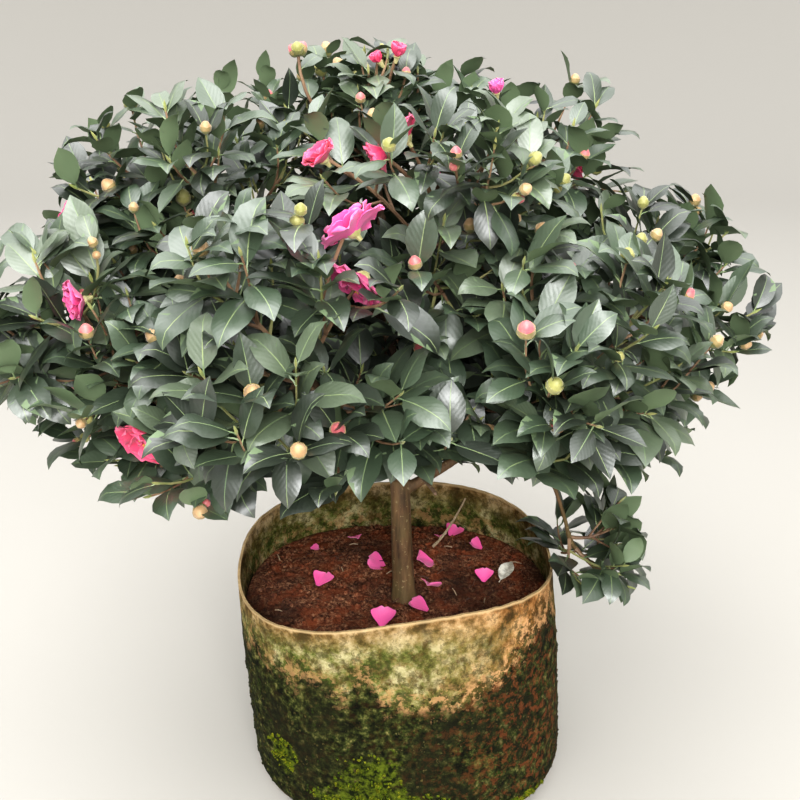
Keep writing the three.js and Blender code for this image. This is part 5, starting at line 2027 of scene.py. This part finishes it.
class CAMELLIA_OT_stage(bpy.types.Operator):
    """Adds the floor, the lights and the camera"""
    bl_idname = "camellia.stage"
    bl_label = "Stage"

    def execute(self, context):
        build_stage(context.scene.camellia)
        return {"FINISHED"}


class CAMELLIA_OT_pot(bpy.types.Operator):
    """Builds the felt grow pot"""
    bl_idname = "camellia.pot"
    bl_label = "Felt pot"

    def execute(self, context):
        build_pot(context.scene.camellia)
        return {"FINISHED"}


class CAMELLIA_OT_moss(bpy.types.Operator):
    """Grows moss on the pot's wall"""
    bl_idname = "camellia.moss"
    bl_label = "Moss"

    def execute(self, context):
        build_moss(context.scene.camellia)
        return {"FINISHED"}


class CAMELLIA_OT_soil(bpy.types.Operator):
    """Fills the pot with soil and crumbs"""
    bl_idname = "camellia.soil"
    bl_label = "Soil"

    def execute(self, context):
        build_soil(context.scene.camellia)
        return {"FINISHED"}


class CAMELLIA_OT_litter(bpy.types.Operator):
    """Drops petals, a dead leaf and a dead twig on the soil"""
    bl_idname = "camellia.litter"
    bl_label = "Litter"

    def execute(self, context):
        build_litter(context.scene.camellia)
        return {"FINISHED"}


class CAMELLIA_OT_limbs(bpy.types.Operator):
    """Skins trunk, boughs and stems with bark"""
    bl_idname = "camellia.limbs"
    bl_label = "Trunk and boughs"

    def execute(self, context):
        build_limbs(context.scene.camellia)
        return {"FINISHED"}


class CAMELLIA_OT_twigs(bpy.types.Operator):
    """Grows the shoots and side shoots"""
    bl_idname = "camellia.twigs"
    bl_label = "Twigs"

    def execute(self, context):
        build_twigs(context.scene.camellia)
        return {"FINISHED"}


class CAMELLIA_OT_leaves(bpy.types.Operator):
    """Clothes the shoots with leaves"""
    bl_idname = "camellia.leaves"
    bl_label = "Leaves"

    def execute(self, context):
        build_leaves(context.scene.camellia)
        return {"FINISHED"}


class CAMELLIA_OT_buds(bpy.types.Operator):
    """Sets flower buds and leaf buds on the shoots"""
    bl_idname = "camellia.buds"
    bl_label = "Buds"

    def execute(self, context):
        build_buds(context.scene.camellia)
        return {"FINISHED"}


class CAMELLIA_OT_blooms(bpy.types.Operator):
    """Opens the blooms"""
    bl_idname = "camellia.blooms"
    bl_label = "Blooms"

    def execute(self, context):
        build_blooms(context.scene.camellia)
        return {"FINISHED"}


OPERATORS = (CAMELLIA_OT_stage, CAMELLIA_OT_pot, CAMELLIA_OT_moss, CAMELLIA_OT_soil,
             CAMELLIA_OT_litter, CAMELLIA_OT_limbs, CAMELLIA_OT_twigs, CAMELLIA_OT_leaves,
             CAMELLIA_OT_buds, CAMELLIA_OT_blooms)


class CAMELLIA_PT_panel(bpy.types.Panel):
    """Lists the shrub's sizes, colours and pieces"""
    bl_label = "Camellia"
    bl_idname = "CAMELLIA_PT_panel"
    bl_space_type = "VIEW_3D"
    bl_region_type = "UI"
    bl_category = "Camellia"

    def draw(self, context):
        for name in CamelliaSettings.__annotations__:
            self.layout.prop(context.scene.camellia, name)
        for operator in OPERATORS:
            self.layout.operator(operator.bl_idname)


CLASSES = (CamelliaSettings, *OPERATORS, CAMELLIA_PT_panel)


def register():
    for item in CLASSES:
        bpy.utils.register_class(item)
    bpy.types.Scene.camellia = PointerProperty(type=CamelliaSettings)


def unregister():
    del bpy.types.Scene.camellia
    for item in reversed(CLASSES):
        bpy.utils.unregister_class(item)


def main():
    register()
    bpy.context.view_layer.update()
    bpy.ops.camellia.stage()
    bpy.ops.camellia.pot()
    bpy.ops.camellia.moss()
    bpy.ops.camellia.soil()
    bpy.ops.camellia.litter()
    bpy.ops.camellia.limbs()
    bpy.ops.camellia.twigs()
    bpy.ops.camellia.leaves()
    bpy.ops.camellia.buds()
    bpy.ops.camellia.blooms()


if __name__ == "__main__":
    main()
